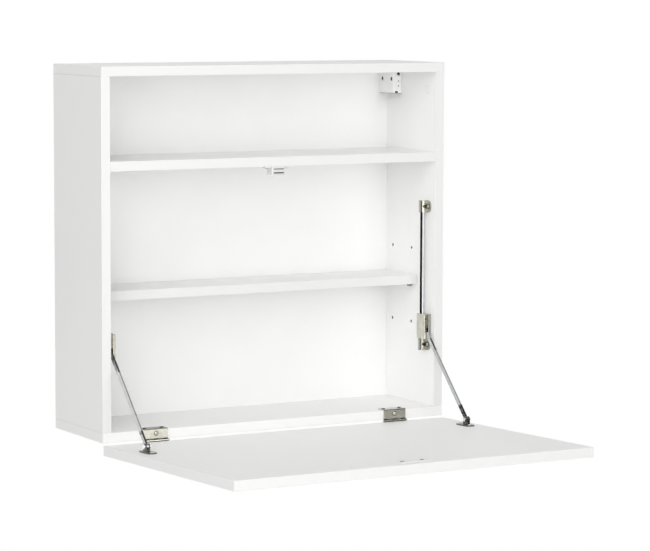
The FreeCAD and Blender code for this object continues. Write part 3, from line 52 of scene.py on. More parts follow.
# --- Camera
cameraLook = {
    "place": (-2.0647, -3.9700, 0.1585),
    "forward": (0.48987, 0.86588, -0.10182),
    "roll": 0.185,  # degrees, clockwise
    "lens": 155.43,
    "sensor": 36,
    "clip": (0.05, 60),
}


def addCamera(look):
    data = bpy.data.cameras.new("camera")
    data.sensor_width = look["sensor"]
    data.lens = look["lens"]
    data.clip_start, data.clip_end = look["clip"]
    forward = Vector(look["forward"]).normalized()
    right = forward.cross(Vector((0, 0, 1))).normalized()
    up = right.cross(forward)
    turn = math.radians(look["roll"])
    side = right * math.cos(turn) + up * math.sin(turn)
    top = up * math.cos(turn) - right * math.sin(turn)
    camera = bpy.data.objects.new("camera", data)
    axes = Matrix((side, top, -forward)).transposed().to_4x4()
    camera.matrix_world = Matrix.Translation(look["place"]) @ axes
    bpy.context.scene.collection.objects.link(camera)
    bpy.context.scene.camera = camera


addCamera(cameraLook)
bpy.context.scene.view_settings.view_transform = "Standard"
print("camera set")


# --- Shader helpers
class Wire:  # a shader socket that takes part in sums
    def __init__(self, shading, socket):
        self.shading = shading
        self.socket = socket

    def combine(self, operation, *values):
        sockets = dict(enumerate(values))
        return self.shading.node("ShaderNodeMath", {"operation": operation}, sockets)

    def __add__(self, other):
        return self.combine("ADD", self, other)

    def __sub__(self, other):
        return self.combine("SUBTRACT", self, other)

    def __rsub__(self, other):
        return self.combine("SUBTRACT", other, self)

    def __mul__(self, other):
        return self.combine("MULTIPLY", self, other)

    def __abs__(self):
        return self.combine("ABSOLUTE", self)

    def largerOf(self, other):
        return self.combine("MAXIMUM", self, other)

    def fade(self, low, high, start=0.0, end=1.0):  # smooth step between two readings
        sockets = {0: self, 1: low, 2: high, 3: start, 4: end}
        settings = {"interpolation_type": "SMOOTHSTEP"}
        return self.shading.node("ShaderNodeMapRange", settings, sockets)


class Shading:  # a node tree, and the ways to fill it
    def __init__(self, tree):
        self.tree = tree
        tree.nodes.clear()

    def node(self, kind, settings=None, sockets=None, take=0):
        made = self.tree.nodes.new(kind)
        for key, value in (settings or {}).items():
            setattr(made, key, value)
        for key, value in (sockets or {}).items():
            target = made.inputs[key]
            if isinstance(value, Wire):
                self.tree.links.new(value.socket, target)
            else:
                target.default_value = value
        return Wire(self, made.outputs[take]) if made.outputs else None

    def place(self, turn=0.0, stretch=(1, 1, 1)):  # the piece's own coordinates, in metres
        spot = self.node("ShaderNodeTexCoord", take="Object")
        if turn == 0.0 and stretch == (1, 1, 1):
            return spot
        sockets = {"Vector": spot, "Rotation": (turn, 0, 0), "Scale": stretch}
        return self.node("ShaderNodeMapping", {}, sockets)

    def noise(self, spot, scale, detail, roughness, distortion=0.0):
        sockets = {
            "Vector": spot, "Scale": scale, "Detail": detail,
            "Roughness": roughness, "Distortion": distortion,
        }
        return self.node("ShaderNodeTexNoise", {}, sockets)

    def tint(self, mask, first, second):  # its colours go in at 6 and 7 and come out at 2
        colours = [one if isinstance(one, Wire) else (*one, 1) for one in (first, second)]
        sockets = {0: mask, 6: colours[0], 7: colours[1]}
        return self.node("ShaderNodeMix", {"data_type": "RGBA"}, sockets, take=2)

    def reach(self, spot, centre, kept):  # distance from a point, along the kept axes only
        away = self.node("ShaderNodeVectorMath", {"operation": "SUBTRACT"}, {0: spot, 1: centre})
        flat = self.node("ShaderNodeVectorMath", {"operation": "MULTIPLY"}, {0: away, 1: kept})
        return self.node("ShaderNodeVectorMath", {"operation": "LENGTH"}, {0: flat}, take="Value")

    def bump(self, height, strength):  # the height in metres
        sockets = {"Height": height, "Distance": 1.0, "Strength": strength}
        return self.node("ShaderNodeBump", {}, sockets)

    def surface(self, **sockets):
        names = {name.replace("_", " "): value for name, value in sockets.items()}
        shader = self.node("ShaderNodeBsdfPrincipled", {}, names)
        self.node("ShaderNodeOutputMaterial", {}, {"Surface": shader})


def newFinish(name):
    material = bpy.data.materials.new(name)
    material.use_nodes = True
    return material, Shading(material.node_tree)


def axisOf(shading, spot, number):
    return shading.node("ShaderNodeSeparateXYZ", {}, {"Vector": spot}, take=number)


noiseSpan = (0.3, 0.7)  # most of a noise's readings lie between these
markEdge = 0.00015  # width of the step at a mark's edge
beyond = 1  # a margin that reaches past every piece


def within(reading, low, high):  # 1 between two readings, 0 outside them
    return reading.fade(low - markEdge, low) * (1 - reading.fade(high, high + markEdge))


# A mark is a zone of a piece in a tone of its own. Its mask is worked out from the place.
def slab(axis, low, high, tone):
    def mask(shading, spot):
        return within(axisOf(shading, spot, axis), low, high)
    return {"mask": mask, "tone": tone}


def ring(centre, kept, inner, outer, tone):
    def mask(shading, spot):
        return within(shading.reach(spot, tuple(centre), kept), inner, outer)
    return {"mask": mask, "tone": tone}


def disc(centre, kept, radius, tone):
    return ring(centre, kept, -beyond, radius, tone)


def cell(low, high, tone):
    def mask(shading, spot):
        parts = [within(axisOf(shading, spot, axis), low[axis], high[axis]) for axis in range(3)]
        return parts[0] * parts[1] * parts[2]
    return {"mask": mask, "tone": tone}


def both(first, second):  # where two marks meet, in the first one's tone
    def mask(shading, spot):
        return first["mask"](shading, spot) * second["mask"](shading, spot)
    return {"mask": mask, "tone": first["tone"]}


def markOn(shading, spot, colour, marks):
    for mark in marks:
        colour = shading.tint(mark["mask"](shading, spot), colour, mark["tone"])
    return colour


# --- Boards
boardLook = {
    "face": (0.935, 0.936, 0.927),
    "faceShade": (0.922, 0.923, 0.914),
    "band": (0.845, 0.845, 0.837),
    "bandLightAndShade": {"bottom_panel": 1.12, "flap_board": 0.965},  # painted light and shade: the band's tone scaled on these boards, lighter on the bottom panel, darker on the flap
    # the glue line's colour, also used for the painted shade where a side meets a panel
    "glueLineAndShade": (0.42, 0.41, 0.38),
    "lineInset": 0.0008,  # board edge to the glue line
    "lineWidth": 0.00022,
    "lineStrength": 0.55,
    "bandReach": 0.8,  # share of the inset that is all band
    "joint": (0.0005, 0.0004, 0.42),  # painted shade where a side meets a panel: height, depth, strength
    # raw chipboard inside holes and the groove, darkened with painted shade
    "chipboardShade": (0.15, 0.12, 0.09),
    "skin": 0.0012,  # depth of the melamine, and of the bands
    "roughness": (0.43, 0.50),
    "bandGloss": 0.06,  # how much smoother a band is
    "pearl": (780, 3.0, 0.6),  # each noise: scale, detail and roughness
    "pearlSpan": (0.25, 0.75),
    "pearlHeight": 0.000018,
    "ripple": (26, 1.0, 0.4),
    "rippleHeight": 0.00008,
    "cloud": (5.5, 3.0, 0.5),
    "lineDepth": 0.00004,
    "bump": 0.7,
}

# The edges of each board that carry a band: low and high ends along X, Y and Z.
bandedEdges = {
    "left_side_panel": ("yLow",),
    "right_side_panel": ("yLow",),
    "top_panel": ("yLow", "xLow", "xHigh"),
    "bottom_panel": ("yLow", "xLow", "xHigh"),
    "fixed_shelf": ("yLow",),
    "adjustable_shelf": ("yLow",),
    "flap_board": ("yLow", "yHigh", "xLow", "xHigh"),
}


def flapTilt():  # the open flap's slope about X, from the direction that its upper face looks in
    axis = next(mount["axis"] for mount in frame["record"]["mounts"] if mount["name"] == "desk_top")
    return math.atan2(axis[1], axis[2])


def paintBoard(name, edges, look):
    material, shading = newFinish("melamine_" + name)
    spot = shading.place()
    low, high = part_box(name)
    if name == "flap_board":
        spot = shading.place(flapSlope)
        level = Matrix.Rotation(flapSlope, 3, "X")
        points = [level @ point.co for point in frame["nodes"][name].data.vertices]
        low, high = (
            [pick(point[axis] for point in points) for axis in range(3)] for pick in (min, max)
        )
    line, band = None, None
    for edge in edges:
        axis = "xyz".index(edge[0])
        reading = axisOf(shading, spot, axis)
        outside = (reading - low[axis]) if edge.endswith("Low") else (high[axis] - reading)
        seam = 1 - abs(outside - look["lineInset"]).fade(look["lineWidth"] / 2, look["lineWidth"])
        inside = 1 - outside.fade(look["lineInset"] * look["bandReach"], look["lineInset"])
        line = seam if line is None else line.largerOf(seam)
        if edge[0] == "y":
            band = inside if band is None else band.largerOf(inside)
    pearl, cloud, ripple = (
        shading.noise(shading.place(), *look[key]) for key in ("pearl", "cloud", "ripple")
    )
    face = shading.tint(cloud.fade(*noiseSpan), look["face"], look["faceShade"])
    # painted light and shade on the bands of the bottom panel and the flap
    share = look["bandLightAndShade"].get(name, 1.0)
    coloured = shading.tint(band, face, [value * share for value in look["band"]])
    coloured = shading.tint(line * look["lineStrength"], coloured, look["glueLineAndShade"])
    if name.endswith("side_panel"):
        # painted shade along a side panel's ends, where it meets the top and bottom panels
        tall, deep, strength = look["joint"]
        outside = axisOf(shading, spot, 0)
        outside = (outside - low[0]) if name.startswith("left") else (high[0] - outside)
        height = axisOf(shading, spot, 2)
        foot = within(height, low[2] - beyond, low[2] + tall)
        head = within(height, high[2] - tall, high[2] + beyond)
        joint = foot.largerOf(head) * (1 - outside.fade(deep / 2, deep))
        coloured = shading.tint(joint * strength, coloured, look["glueLineAndShade"])
        # inside holes and the groove: raw chipboard, darkened with painted shade
        skin = look["skin"]
        coloured = markOn(shading, spot, coloured, [cell(
            [value + skin for value in low], [value - skin for value in high], look["chipboardShade"],
        )])
    waves = ripple * look["rippleHeight"] * (1 - band)
    height = pearl * look["pearlHeight"] + waves - line * look["lineDepth"]
    rough = pearl.fade(*look["pearlSpan"], *look["roughness"]) - band * look["bandGloss"]
    bump = shading.bump(height, look["bump"])
    shading.surface(Base_Color=coloured, Roughness=rough, Normal=bump)
    return material


flapSlope = flapTilt()
print("flap slope", round(math.degrees(flapSlope), 3), "degrees")


# --- Other finishes
metalLook = {
    "chrome": {
        "colour": (0.74, 0.745, 0.75), "shade": (0.68, 0.685, 0.69), "roughness": (0.03, 0.06),
        "grain": (1, 1, 1), "scale": 160, "height": 0.0000004,
    },
    "nickel": {
        "colour": (0.65, 0.64, 0.565), "shade": (0.56, 0.55, 0.48), "roughness": (0.20, 0.32),
        "grain": (0.08, 1, 1), "scale": 900, "height": 0.000006,
    },
    "zinc_steel": {
        "colour": (0.66, 0.67, 0.67), "shade": (0.55, 0.57, 0.58), "roughness": (0.26, 0.4),
        "grain": (1, 1, 1), "scale": 420, "height": 0.000008,
    },
    "dark_steel": {
        "colour": (0.10, 0.10, 0.10), "shade": (0.07, 0.07, 0.07), "roughness": (0.34, 0.48),
        "grain": (1, 1, 1), "scale": 600, "height": 0.000008,
    },
    "zinc": {
        "colour": (0.60, 0.60, 0.59), "shade": (0.50, 0.50, 0.50), "roughness": (0.38, 0.55),
        "grain": (1, 1, 1), "scale": 700, "height": 0.00003,
    },
}


platingLook = {
    "grain": (3.0, 0.6),  # detail and roughness of the grain's noise
    "patches": (90, 3.0, 0.55),  # scale, detail and roughness of the cloudy patches
    "patchSpan": (0.35, 0.7),
    "patchShare": 0.4,  # in the roughness
    "bump": 1.0,
}


def paintMetal(name, look, tone=1.0, marks=()):
    material, shading = newFinish(name)
    spot = shading.place()
    grain = shading.noise(shading.place(0.0, look["grain"]), look["scale"], *platingLook["grain"])
    patches = shading.noise(spot, *platingLook["patches"])
    first, second = ([value * tone for value in look[key]] for key in ("colour", "shade"))
    colour = shading.tint(patches.fade(*platingLook["patchSpan"]), first, second)
    colour = markOn(shading, spot, colour, marks)
    share = platingLook["patchShare"]
    rough = (grain * (1 - share) + patches * share).fade(*noiseSpan, *look["roughness"])
    bump = shading.bump(grain * look["height"], platingLook["bump"])
    shading.surface(Base_Color=colour, Metallic=1.0, Roughness=rough, Normal=bump)
    return material


plainLook = {
    "white_plastic": {
        "colour": (0.93, 0.935, 0.925), "shade": (0.91, 0.915, 0.905), "roughness": (0.34, 0.46),
        "scale": 1400, "height": 0.00002,
    },
    "white_enamel": {
        "colour": (0.90, 0.90, 0.89), "shade": (0.88, 0.88, 0.87), "roughness": (0.28, 0.36),
        "scale": 900, "height": 0.00002,
    },
    "shoe_plastic": {
        "colour": (0.05, 0.05, 0.05), "shade": (0.075, 0.075, 0.075), "roughness": (0.4, 0.55),
        "scale": 1200, "height": 0.00002,
    },
    "magnet": {
        "colour": (0.045, 0.043, 0.042), "shade": (0.08, 0.078, 0.075), "roughness": (0.5, 0.7),
        "scale": 2200, "height": 0.00003,
    },
    "white_back": {
        "colour": (0.94, 0.94, 0.93), "shade": (0.925, 0.925, 0.915), "roughness": (0.46, 0.56),
        "scale": 500, "height": 0.00002,
    },
}


mouldedLook = {
    "fine": (2.0, 0.6),  # detail and roughness of the surface's noise
    "cloud": (14, 3.0, 0.5),  # scale, detail and roughness of soft clouds in the colour
    "bump": 0.8,
}


def paintPlain(name, look, marks=(), turn=0.0, tone=1.0):
    material, shading = newFinish(name)
    spot = shading.place()
    fine = shading.noise(spot, look["scale"], *mouldedLook["fine"])
    cloud = shading.noise(spot, *mouldedLook["cloud"])
    first, second = ([value * tone for value in look[key]] for key in ("colour", "shade"))
    colour = shading.tint(cloud.fade(*noiseSpan), first, second)
    colour = markOn(shading, shading.place(turn), colour, marks)
    rough = fine.fade(*noiseSpan, *look["roughness"])
    bump = shading.bump(fine * look["height"], mouldedLook["bump"])
    shading.surface(Base_Color=colour, Roughness=rough, Normal=bump)
    return material


beechLook = {
    "early": (0.66, 0.47, 0.29), "late": (0.50, 0.33, 0.18), "fleck": (0.36, 0.22, 0.11),
    "stretch": (1, 1, 0.08),  # along the dowel
    "rings": (260, 3.0, 0.55, 0.6),  # each noise: scale, detail, roughness and distortion
    "ringSpan": (0.35, 0.65),
    "flecks": (1900, 2.0, 0.5, 0.0),
    "fleckSpan": (0.58, 0.7),
    "fleckStrength": 0.6,
    "fleckDepth": 0.00006,
    "roughness": (0.55, 0.7),
    "bump": 0.6,
}


def paintBeech(look):
    material, shading = newFinish("beech")
    spot = shading.place(0.0, look["stretch"])
    rings = shading.noise(spot, *look["rings"])
    flecks = shading.noise(spot, *look["flecks"])
    colour = shading.tint(rings.fade(*look["ringSpan"]), look["early"], look["late"])
    flecked = flecks.fade(*look["fleckSpan"]) * look["fleckStrength"]
    colour = shading.tint(flecked, colour, look["fleck"])
    rough = rings.fade(*noiseSpan, *look["roughness"])
    bump = shading.bump(flecks * look["fleckDepth"], look["bump"])
    shading.surface(Base_Color=colour, Roughness=rough, Normal=bump)
    return material


finishes = {name: paintMetal(name, look) for name, look in metalLook.items()}
finishes.update({name: paintPlain(name, look) for name, look in plainLook.items()})
finishes["dowel_wood"] = paintBeech(beechLook)


# --- Solids of a node that keeps several
samePoint = 1e-6  # points nearer than this are one


def looseSolids(node):  # the points of each
    mesh = bmesh.new()
    mesh.from_mesh(frame["nodes"][node].data)
    bmesh.ops.remove_doubles(mesh, verts=mesh.verts, dist=samePoint)
    seen, solids = set(), []
    for first in mesh.verts:
        if first in seen:
            continue
        seen.add(first)
        group, edge = [], [first]
        while edge:
            point = edge.pop()
            group.append(point.co.copy())
            for link in point.link_edges:
                other = link.other_vert(point)
                if other not in seen:
                    seen.add(other)
                    edge.append(other)
        solids.append(group)
    mesh.free()
    return solids


# --- Pieces with zones or side-to-side tones of their own; most of these are painted shade, light and reflections
hardwareLook = {
    # painted reflections: the left hinge's leaves lighter, the right hinge's leaves darker
    "plateReflectionTone": {"left": 1.27, "right": 0.78},
    # painted shade on each hinge's flange, much darker on the left
    "flange": {"left": (0.15, 0.145, 0.12), "right": (0.50, 0.49, 0.45)},
    "flangeSetback": 0.0027,  # from the pin's axis
    "flangeHeight": 0.004,  # no screw of the front is this near the leaf's top
    "bend": (0.0008, (0.10, 0.097, 0.085)),  # height of the painted shade line at the bend, and its tone
    "grooves": ((0.0017, 0.0033), (-0.0034, 0.0001)),  # painted shade lines over and under the pin's axis
    "knuckleShadeTone": (0.06, 0.058, 0.05),
    # painted shade rings around the screw heads, on the hinges and the stay brackets
    "screwRing": (0.0031, 0.0037),
    "screwRingShade": (0.07, 0.068, 0.06),
    "bracketTone": 0.72,
    "bracketRing": (0.0032, 0.0045),
    # painted dark reflection: the flap brackets' nickel darkened
    "footShade": 0.26,
    # painted highlight: the rivets brighter than the chrome
    "rivetHighlight": 1.25,
    "strutTone": 0.84,
    # painted shade: the left slider housing darker than the right
    "housingShade": {"left": 0.7, "right": 1.0},
    "eye": (0.0062, (0.03, 0.03, 0.03)),  # painted shade on a strut's end about its pin: reach and tone
    "bladeReach": 0.027,  # flat end of a strut from its flap pivot
    # painted dark reflection on the struts' flat ends, darker on the right
    "bladeReflection": {"left": (0.50, 0.50, 0.50), "right": (0.19, 0.19, 0.19)},
    "bladeRise": 0.0044,  # flap pivot from the strut's lowest corner
    "cheek": (0.0026, 0.0018, (0.30, 0.295, 0.27)),  # painted shade on a slider's outer cheek: width, depth, tone
    "slot": (0.0017, 0.0010, (0.62, 0.61, 0.55)),  # painted light in a slider's slot: its inset, depth and tone
    "hangerSkin": 0.0006,
    # painted shade inside the hanger's holes and notch
    "hangerHoleShade": (0.03, 0.03, 0.028),
    # painted shade on the keeper plate's rim, below its top face: depth and tone
    "keeperRim": 0.0003,
    "keeperRimShade": (0.78, 0.78, 0.775),
    # painted shade ring at each cam cap's edge: width and tone
    "capRimShade": (0.0007, (0.75, 0.75, 0.74)),
    "screwShade": (0.10, 0.097, 0.085),
    "shadeRise": 0.02,  # hinge screws lie no further than this over the pins
    "catchTone": 0.875,
    # the pole plates' grey; the lower plate near black with painted shade
    "poleToneAndShade": {"lower": (0.015, 0.015, 0.015), "upper": (0.22, 0.22, 0.215)},
    "catchScrewTone": 0.45,
    "keeperScrewTone": 0.55,
    "shelfPinTone": 0.5,
}


def middleOf(points):
    return sum(points, Vector()) / len(points)


def boxCentre(node):
    low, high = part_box(node)
    return (Vector(low) + Vector(high)) / 2


def screwCentres(node):
    return [middleOf(points) for points in looseSolids(node)]


def hingeFinishes(side, screws, axis, look):
    leaf = "hinge_cabinet_leaf_" + side
    low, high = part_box(leaf)
    top = high[2] - look["flangeHeight"]
    front = [spot for spot in screws if low[0] < spot.x < high[0] and spot.z < top]
    # painted shade lines on the knuckles, on both leaves
    grooves = [
        slab(2, axis.z + lower, axis.z + upper, look["knuckleShadeTone"])
        for lower, upper in look["grooves"]
    ]
    flangeFront = axis.y + look["flangeSetback"]
    bendRise, bendShade = look["bend"]
    bendLow = (low[0] - beyond, low[1], high[2] - bendRise)
    bendHigh = (high[0] + beyond, flangeFront, high[2] + beyond)
    marks = grooves + [
        # painted shade on the flange
        slab(1, flangeFront, high[1] + beyond, look["flange"][side]),
        # painted shade along the bend
        cell(bendLow, bendHigh, bendShade),
    ]
    # painted shade rings around the front screws
    marks += [ring(spot, (1, 0, 1), *look["screwRing"], look["screwRingShade"]) for spot in front]
    # each side's painted reflection tone, for both of its leaves
    nickel, tone = metalLook["nickel"], look["plateReflectionTone"][side]
    flapLeaf = "hinge_flap_leaf_" + side
    return {
        leaf: paintMetal(leaf, nickel, tone, marks),
        flapLeaf: paintMetal(flapLeaf, nickel, tone, grooves),
    }


def stayFinishes(side, sign, screws, look):
    nickel, made = metalLook["nickel"], {}
    for end in ("top", "bottom"):
        bracket = f"stay_{end}_bracket_{side}"
        low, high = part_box(bracket)
        own = [spot for spot in screws if spot.x * sign > 0 and low[2] < spot.z < high[2]]
        # painted shade rings around each bracket's screws
        marks = [ring(spot, (0, 1, 1), *look["bracketRing"], look["screwRingShade"]) for spot in own]
        made[bracket] = paintMetal(bracket, nickel, look["bracketTone"], marks)
    foot = "stay_flap_bracket_" + side
    # the flap bracket's nickel darkened: painted dark reflection
    made[foot] = paintMetal(foot, nickel, look["footShade"])
    strut = "strut_" + side
    low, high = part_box(strut)
    pivot = (0, low[1] + look["bladeRise"], low[2] + look["bladeRise"])
    # painted dark reflection on the strut's flat end
    blade = disc(pivot, (0, 1, 1), look["bladeReach"], look["bladeReflection"][side])
    pin = "strut_top_pin_" + side
    # painted shade on the strut about its top pin
    eye = disc(boxCentre(pin), (0, 1, 1), *look["eye"])
    made[strut] = paintMetal(strut, metalLook["chrome"], look["strutTone"], [blade, eye])
    # the top pin in dark steel; its darkness also stands for the shade at the pivot
    made[pin] = paintMetal(pin, metalLook["dark_steel"])
    housing = "slider_housing_" + side
    low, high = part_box(housing)
    wide, deep, tone = look["cheek"]
    inset, slotDeep, slotLight = look["slot"]
    outer = (high[0] - wide, high[0] + beyond) if sign > 0 else (low[0] - beyond, low[0] + wide)
    base, peak = low[2] - beyond, high[2] + beyond
    slotLow = (low[0] + inset, low[1] + slotDeep, base)
    slotHigh = (high[0] - inset, high[1] - inset, peak)
    # painted light in the slot, painted shade on the outer cheek
    marks = [
        cell(slotLow, slotHigh, slotLight),
        cell((outer[0], low[1] - beyond, base), (outer[1], low[1] + deep, peak), tone),
    ]
    # each side's slider housing in its painted shade tone
    made[housing] = paintMetal(housing, nickel, look["housingShade"][side], marks)
    return made


def hangerFinish(side, look):
    hanger = "hanger_housing_" + side
    low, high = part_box(hanger)
    skin = look["hangerSkin"]
    holeLow = (low[0] + skin, low[1] + skin, low[2] - beyond)
    holeHigh = (high[0] - skin, 0, high[2] - skin)
    # painted shade inside the holes and the notch
    inside = cell(holeLow, holeHigh, look["hangerHoleShade"])
    return {hanger: paintPlain(hanger, plainLook["white_plastic"], [inside])}


def capFinish(look):
    rim, tone = look["capRimShade"]
    marks = []
    for points in looseSolids("cam_caps"):
        centre = middleOf(points)
        spans = []
        for axis in range(3):
            places = [point[axis] for point in points]
            spans.append(max(places) - min(places))
        kept = tuple(0 if span == min(spans) else 1 for span in spans)
        radius = max(spans) / 2
        # painted shade ring at the cap's edge
        edge = ring(centre, kept, radius - rim, radius, tone)
        low, high = ([value + reach for value in centre] for reach in (-radius, radius))
        marks.append(both(edge, cell(low, high, tone)))
    return {"cam_caps": paintPlain("cam_caps", plainLook["white_plastic"], marks)}


def keeperFinish(look):
    points = frame["nodes"]["keeper_plate"].data.vertices
    top = max((Matrix.Rotation(flapSlope, 3, "X") @ point.co).z for point in points)
    # painted shade on the plate's rim
    rim = slab(2, top - beyond, top - look["keeperRim"], look["keeperRimShade"])
    enamel = plainLook["white_enamel"]
    return {"keeper_plate": paintPlain("keeper_plate", enamel, [rim], flapSlope)}


def catchFinishes(look):
    plates = "catch_pole_plates"
    low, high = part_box(plates)
    middle = (low[2] + high[2]) / 2
    # lower plate near black with painted shade, upper plate grey
    marks = [
        slab(2, low[2] - beyond, middle, look["poleToneAndShade"]["lower"]),
        slab(2, middle, high[2] + beyond, look["poleToneAndShade"]["upper"]),
    ]
    housing = "catch_housing"
    return {
        plates: paintMetal(plates, metalLook["dark_steel"], 1.0, marks),
        housing: paintPlain(housing, plainLook["white_plastic"], (), 0.0, look["catchTone"]),
    }


def paintHardware(look):
    hingeScrews = screwCentres("hinge_cabinet_screws")
    bracketScrews = screwCentres("stay_bracket_screws")
    low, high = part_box("hinge_pins")
    axis = boxCentre("hinge_pins")
    special = {**capFinish(look), **keeperFinish(look), **catchFinishes(look)}
    for side, sign in (("left", -1), ("right", 1)):
        special.update(hingeFinishes(side, hingeScrews, axis, look))
        special.update(stayFinishes(side, sign, bracketScrews, look))
        special.update(hangerFinish(side, look))
    chrome, plating = metalLook["chrome"], metalLook["zinc_steel"]
    # painted highlight on the rivets
    special["stay_flap_rivets"] = paintMetal("stay_flap_rivets", chrome, look["rivetHighlight"])
    special["shelf_pins"] = paintMetal("shelf_pins", plating, look["shelfPinTone"])
    flangeScrews = slab(1, axis.y + look["flangeSetback"], 0, look["screwShade"])
    lowScrews = slab(2, low[2] - beyond, high[2] + look["shadeRise"], look["screwShade"])
    shaded = [both(flangeScrews, lowScrews)]
    finishes["cabinet_screws"] = paintMetal("cabinet_screws", metalLook["nickel"], 1.0, shaded)
    finishes["keeper_fixings"] = paintMetal("keeper_fixings", plating, look["keeperScrewTone"])
    finishes["catch_fixings"] = paintMetal("catch_fixings", plating, look["catchScrewTone"])
    return special


special = paintHardware(hardwareLook)
for name, piece in frame["nodes"].items():
    if name in bandedEdges:
        finish = paintBoard(name, bandedEdges[name], boardLook)
    else:
        finish = special.get(name, finishes[slots[name]])
    piece.data.materials.clear()
    piece.data.materials.append(finish)
print("finishes on", len(frame["nodes"]), "nodes")


# --- Screws: the places come from the solids that they stand for
seatLook = {
    "pulls": 40,  # rounds to settle the long axis
    "rimShare": 0.93,  # a point this far out, of the head's radius, is on the head
    "neck": 0.0005,  # under the head, where the shank begins
}


def screwSeat(points, look):  # where a head sits, which way it faces, and its sizes
    centre = middleOf(points)
    far = max(points, key=lambda point: (point - centre).length)
    aim = (far - centre).normalized()
    for _ in range(look["pulls"]):
        pulled = ((point - centre) * (point - centre).dot(aim) for point in points)
        aim = sum(pulled, Vector()).normalized()
    along = [(point - centre).dot(aim) for point in points]
    out = [((point - centre) - aim * reach).length for point, reach in zip(points, along)]
    low, high = min(along), max(along)
    headRadius = max(out)
    widest = along[out.index(headRadius)]
    if widest < (low + high) / 2:
        aim, along = -aim, [-reach for reach in along]
        low, high = min(along), max(along)
    rim = headRadius * look["rimShare"]
    seat = min(reach for reach, width in zip(along, out) if width > rim)
    shank = max(width for reach, width in zip(along, out) if reach < seat - look["neck"])
    middle = middleOf([point - aim * reach for point, reach in zip(points, along)])
    return {
        "seat": middle + aim * seat, "aim": aim, "headRadius": headRadius,
        "headHeight": high - seat, "length": seat - low, "shankRadius": shank,
    }


screwLook = {
    "recessWidth": 0.29,  # shares of the head's radius
    "recessReach": 0.62,
    "recessDepth": 0.75,  # share of the head's height
    "coreRadius": 0.74,  # shares of the shank's radius
    "pitch": 0.62,
    "tip": 1.6,
    "crest": 0.96,  # share of the room between core and shank
    "domeDrop": 0.80,  # how far the dome's radius falls off, and how late
    "domePower": 2.4,
    "domeRings": 9,
    "headSides": 32,
    "coreSides": 16,
    "turnSteps": 14,
}


def growTree(name, inputs):
    tree = bpy.data.node_groups.new(name, "GeometryNodeTree")
    tree.interface.new_socket("Geometry", in_out="INPUT", socket_type="NodeSocketGeometry")
    for label, kind in inputs:
        tree.interface.new_socket(label, in_out="INPUT", socket_type=kind)
    tree.interface.new_socket("Geometry", in_out="OUTPUT", socket_type="NodeSocketGeometry")
    return tree


class Growing:  # a Geometry Nodes tree, and the way to fill it
    def __init__(self, tree):
        self.tree = tree
        self.given = tree.nodes.new("NodeGroupInput")

    def node(self, kind, settings=None, sockets=None):
        made = self.tree.nodes.new(kind)
        for key, value in (settings or {}).items():
            setattr(made, key, value)
        for key, value in (sockets or {}).items():
            for one in value if isinstance(value, list) else [value]:
                if isinstance(one, bpy.types.NodeSocket):
                    self.tree.links.new(one, made.inputs[key])
                else:
                    made.inputs[key].default_value = one
        return made.outputs[0] if made.outputs else None

    def maths(self, operation, first, second=0.0):
        return self.node("ShaderNodeMath", {"operation": operation}, {0: first, 1: second})

    def move(self, shape, height, turn=(0, 0, 0)):
        lift = self.node("ShaderNodeCombineXYZ", {}, {"Z": height})
        sockets = {"Geometry": shape, "Translation": lift, "Rotation": turn}
        return self.node("GeometryNodeTransform", {}, sockets)


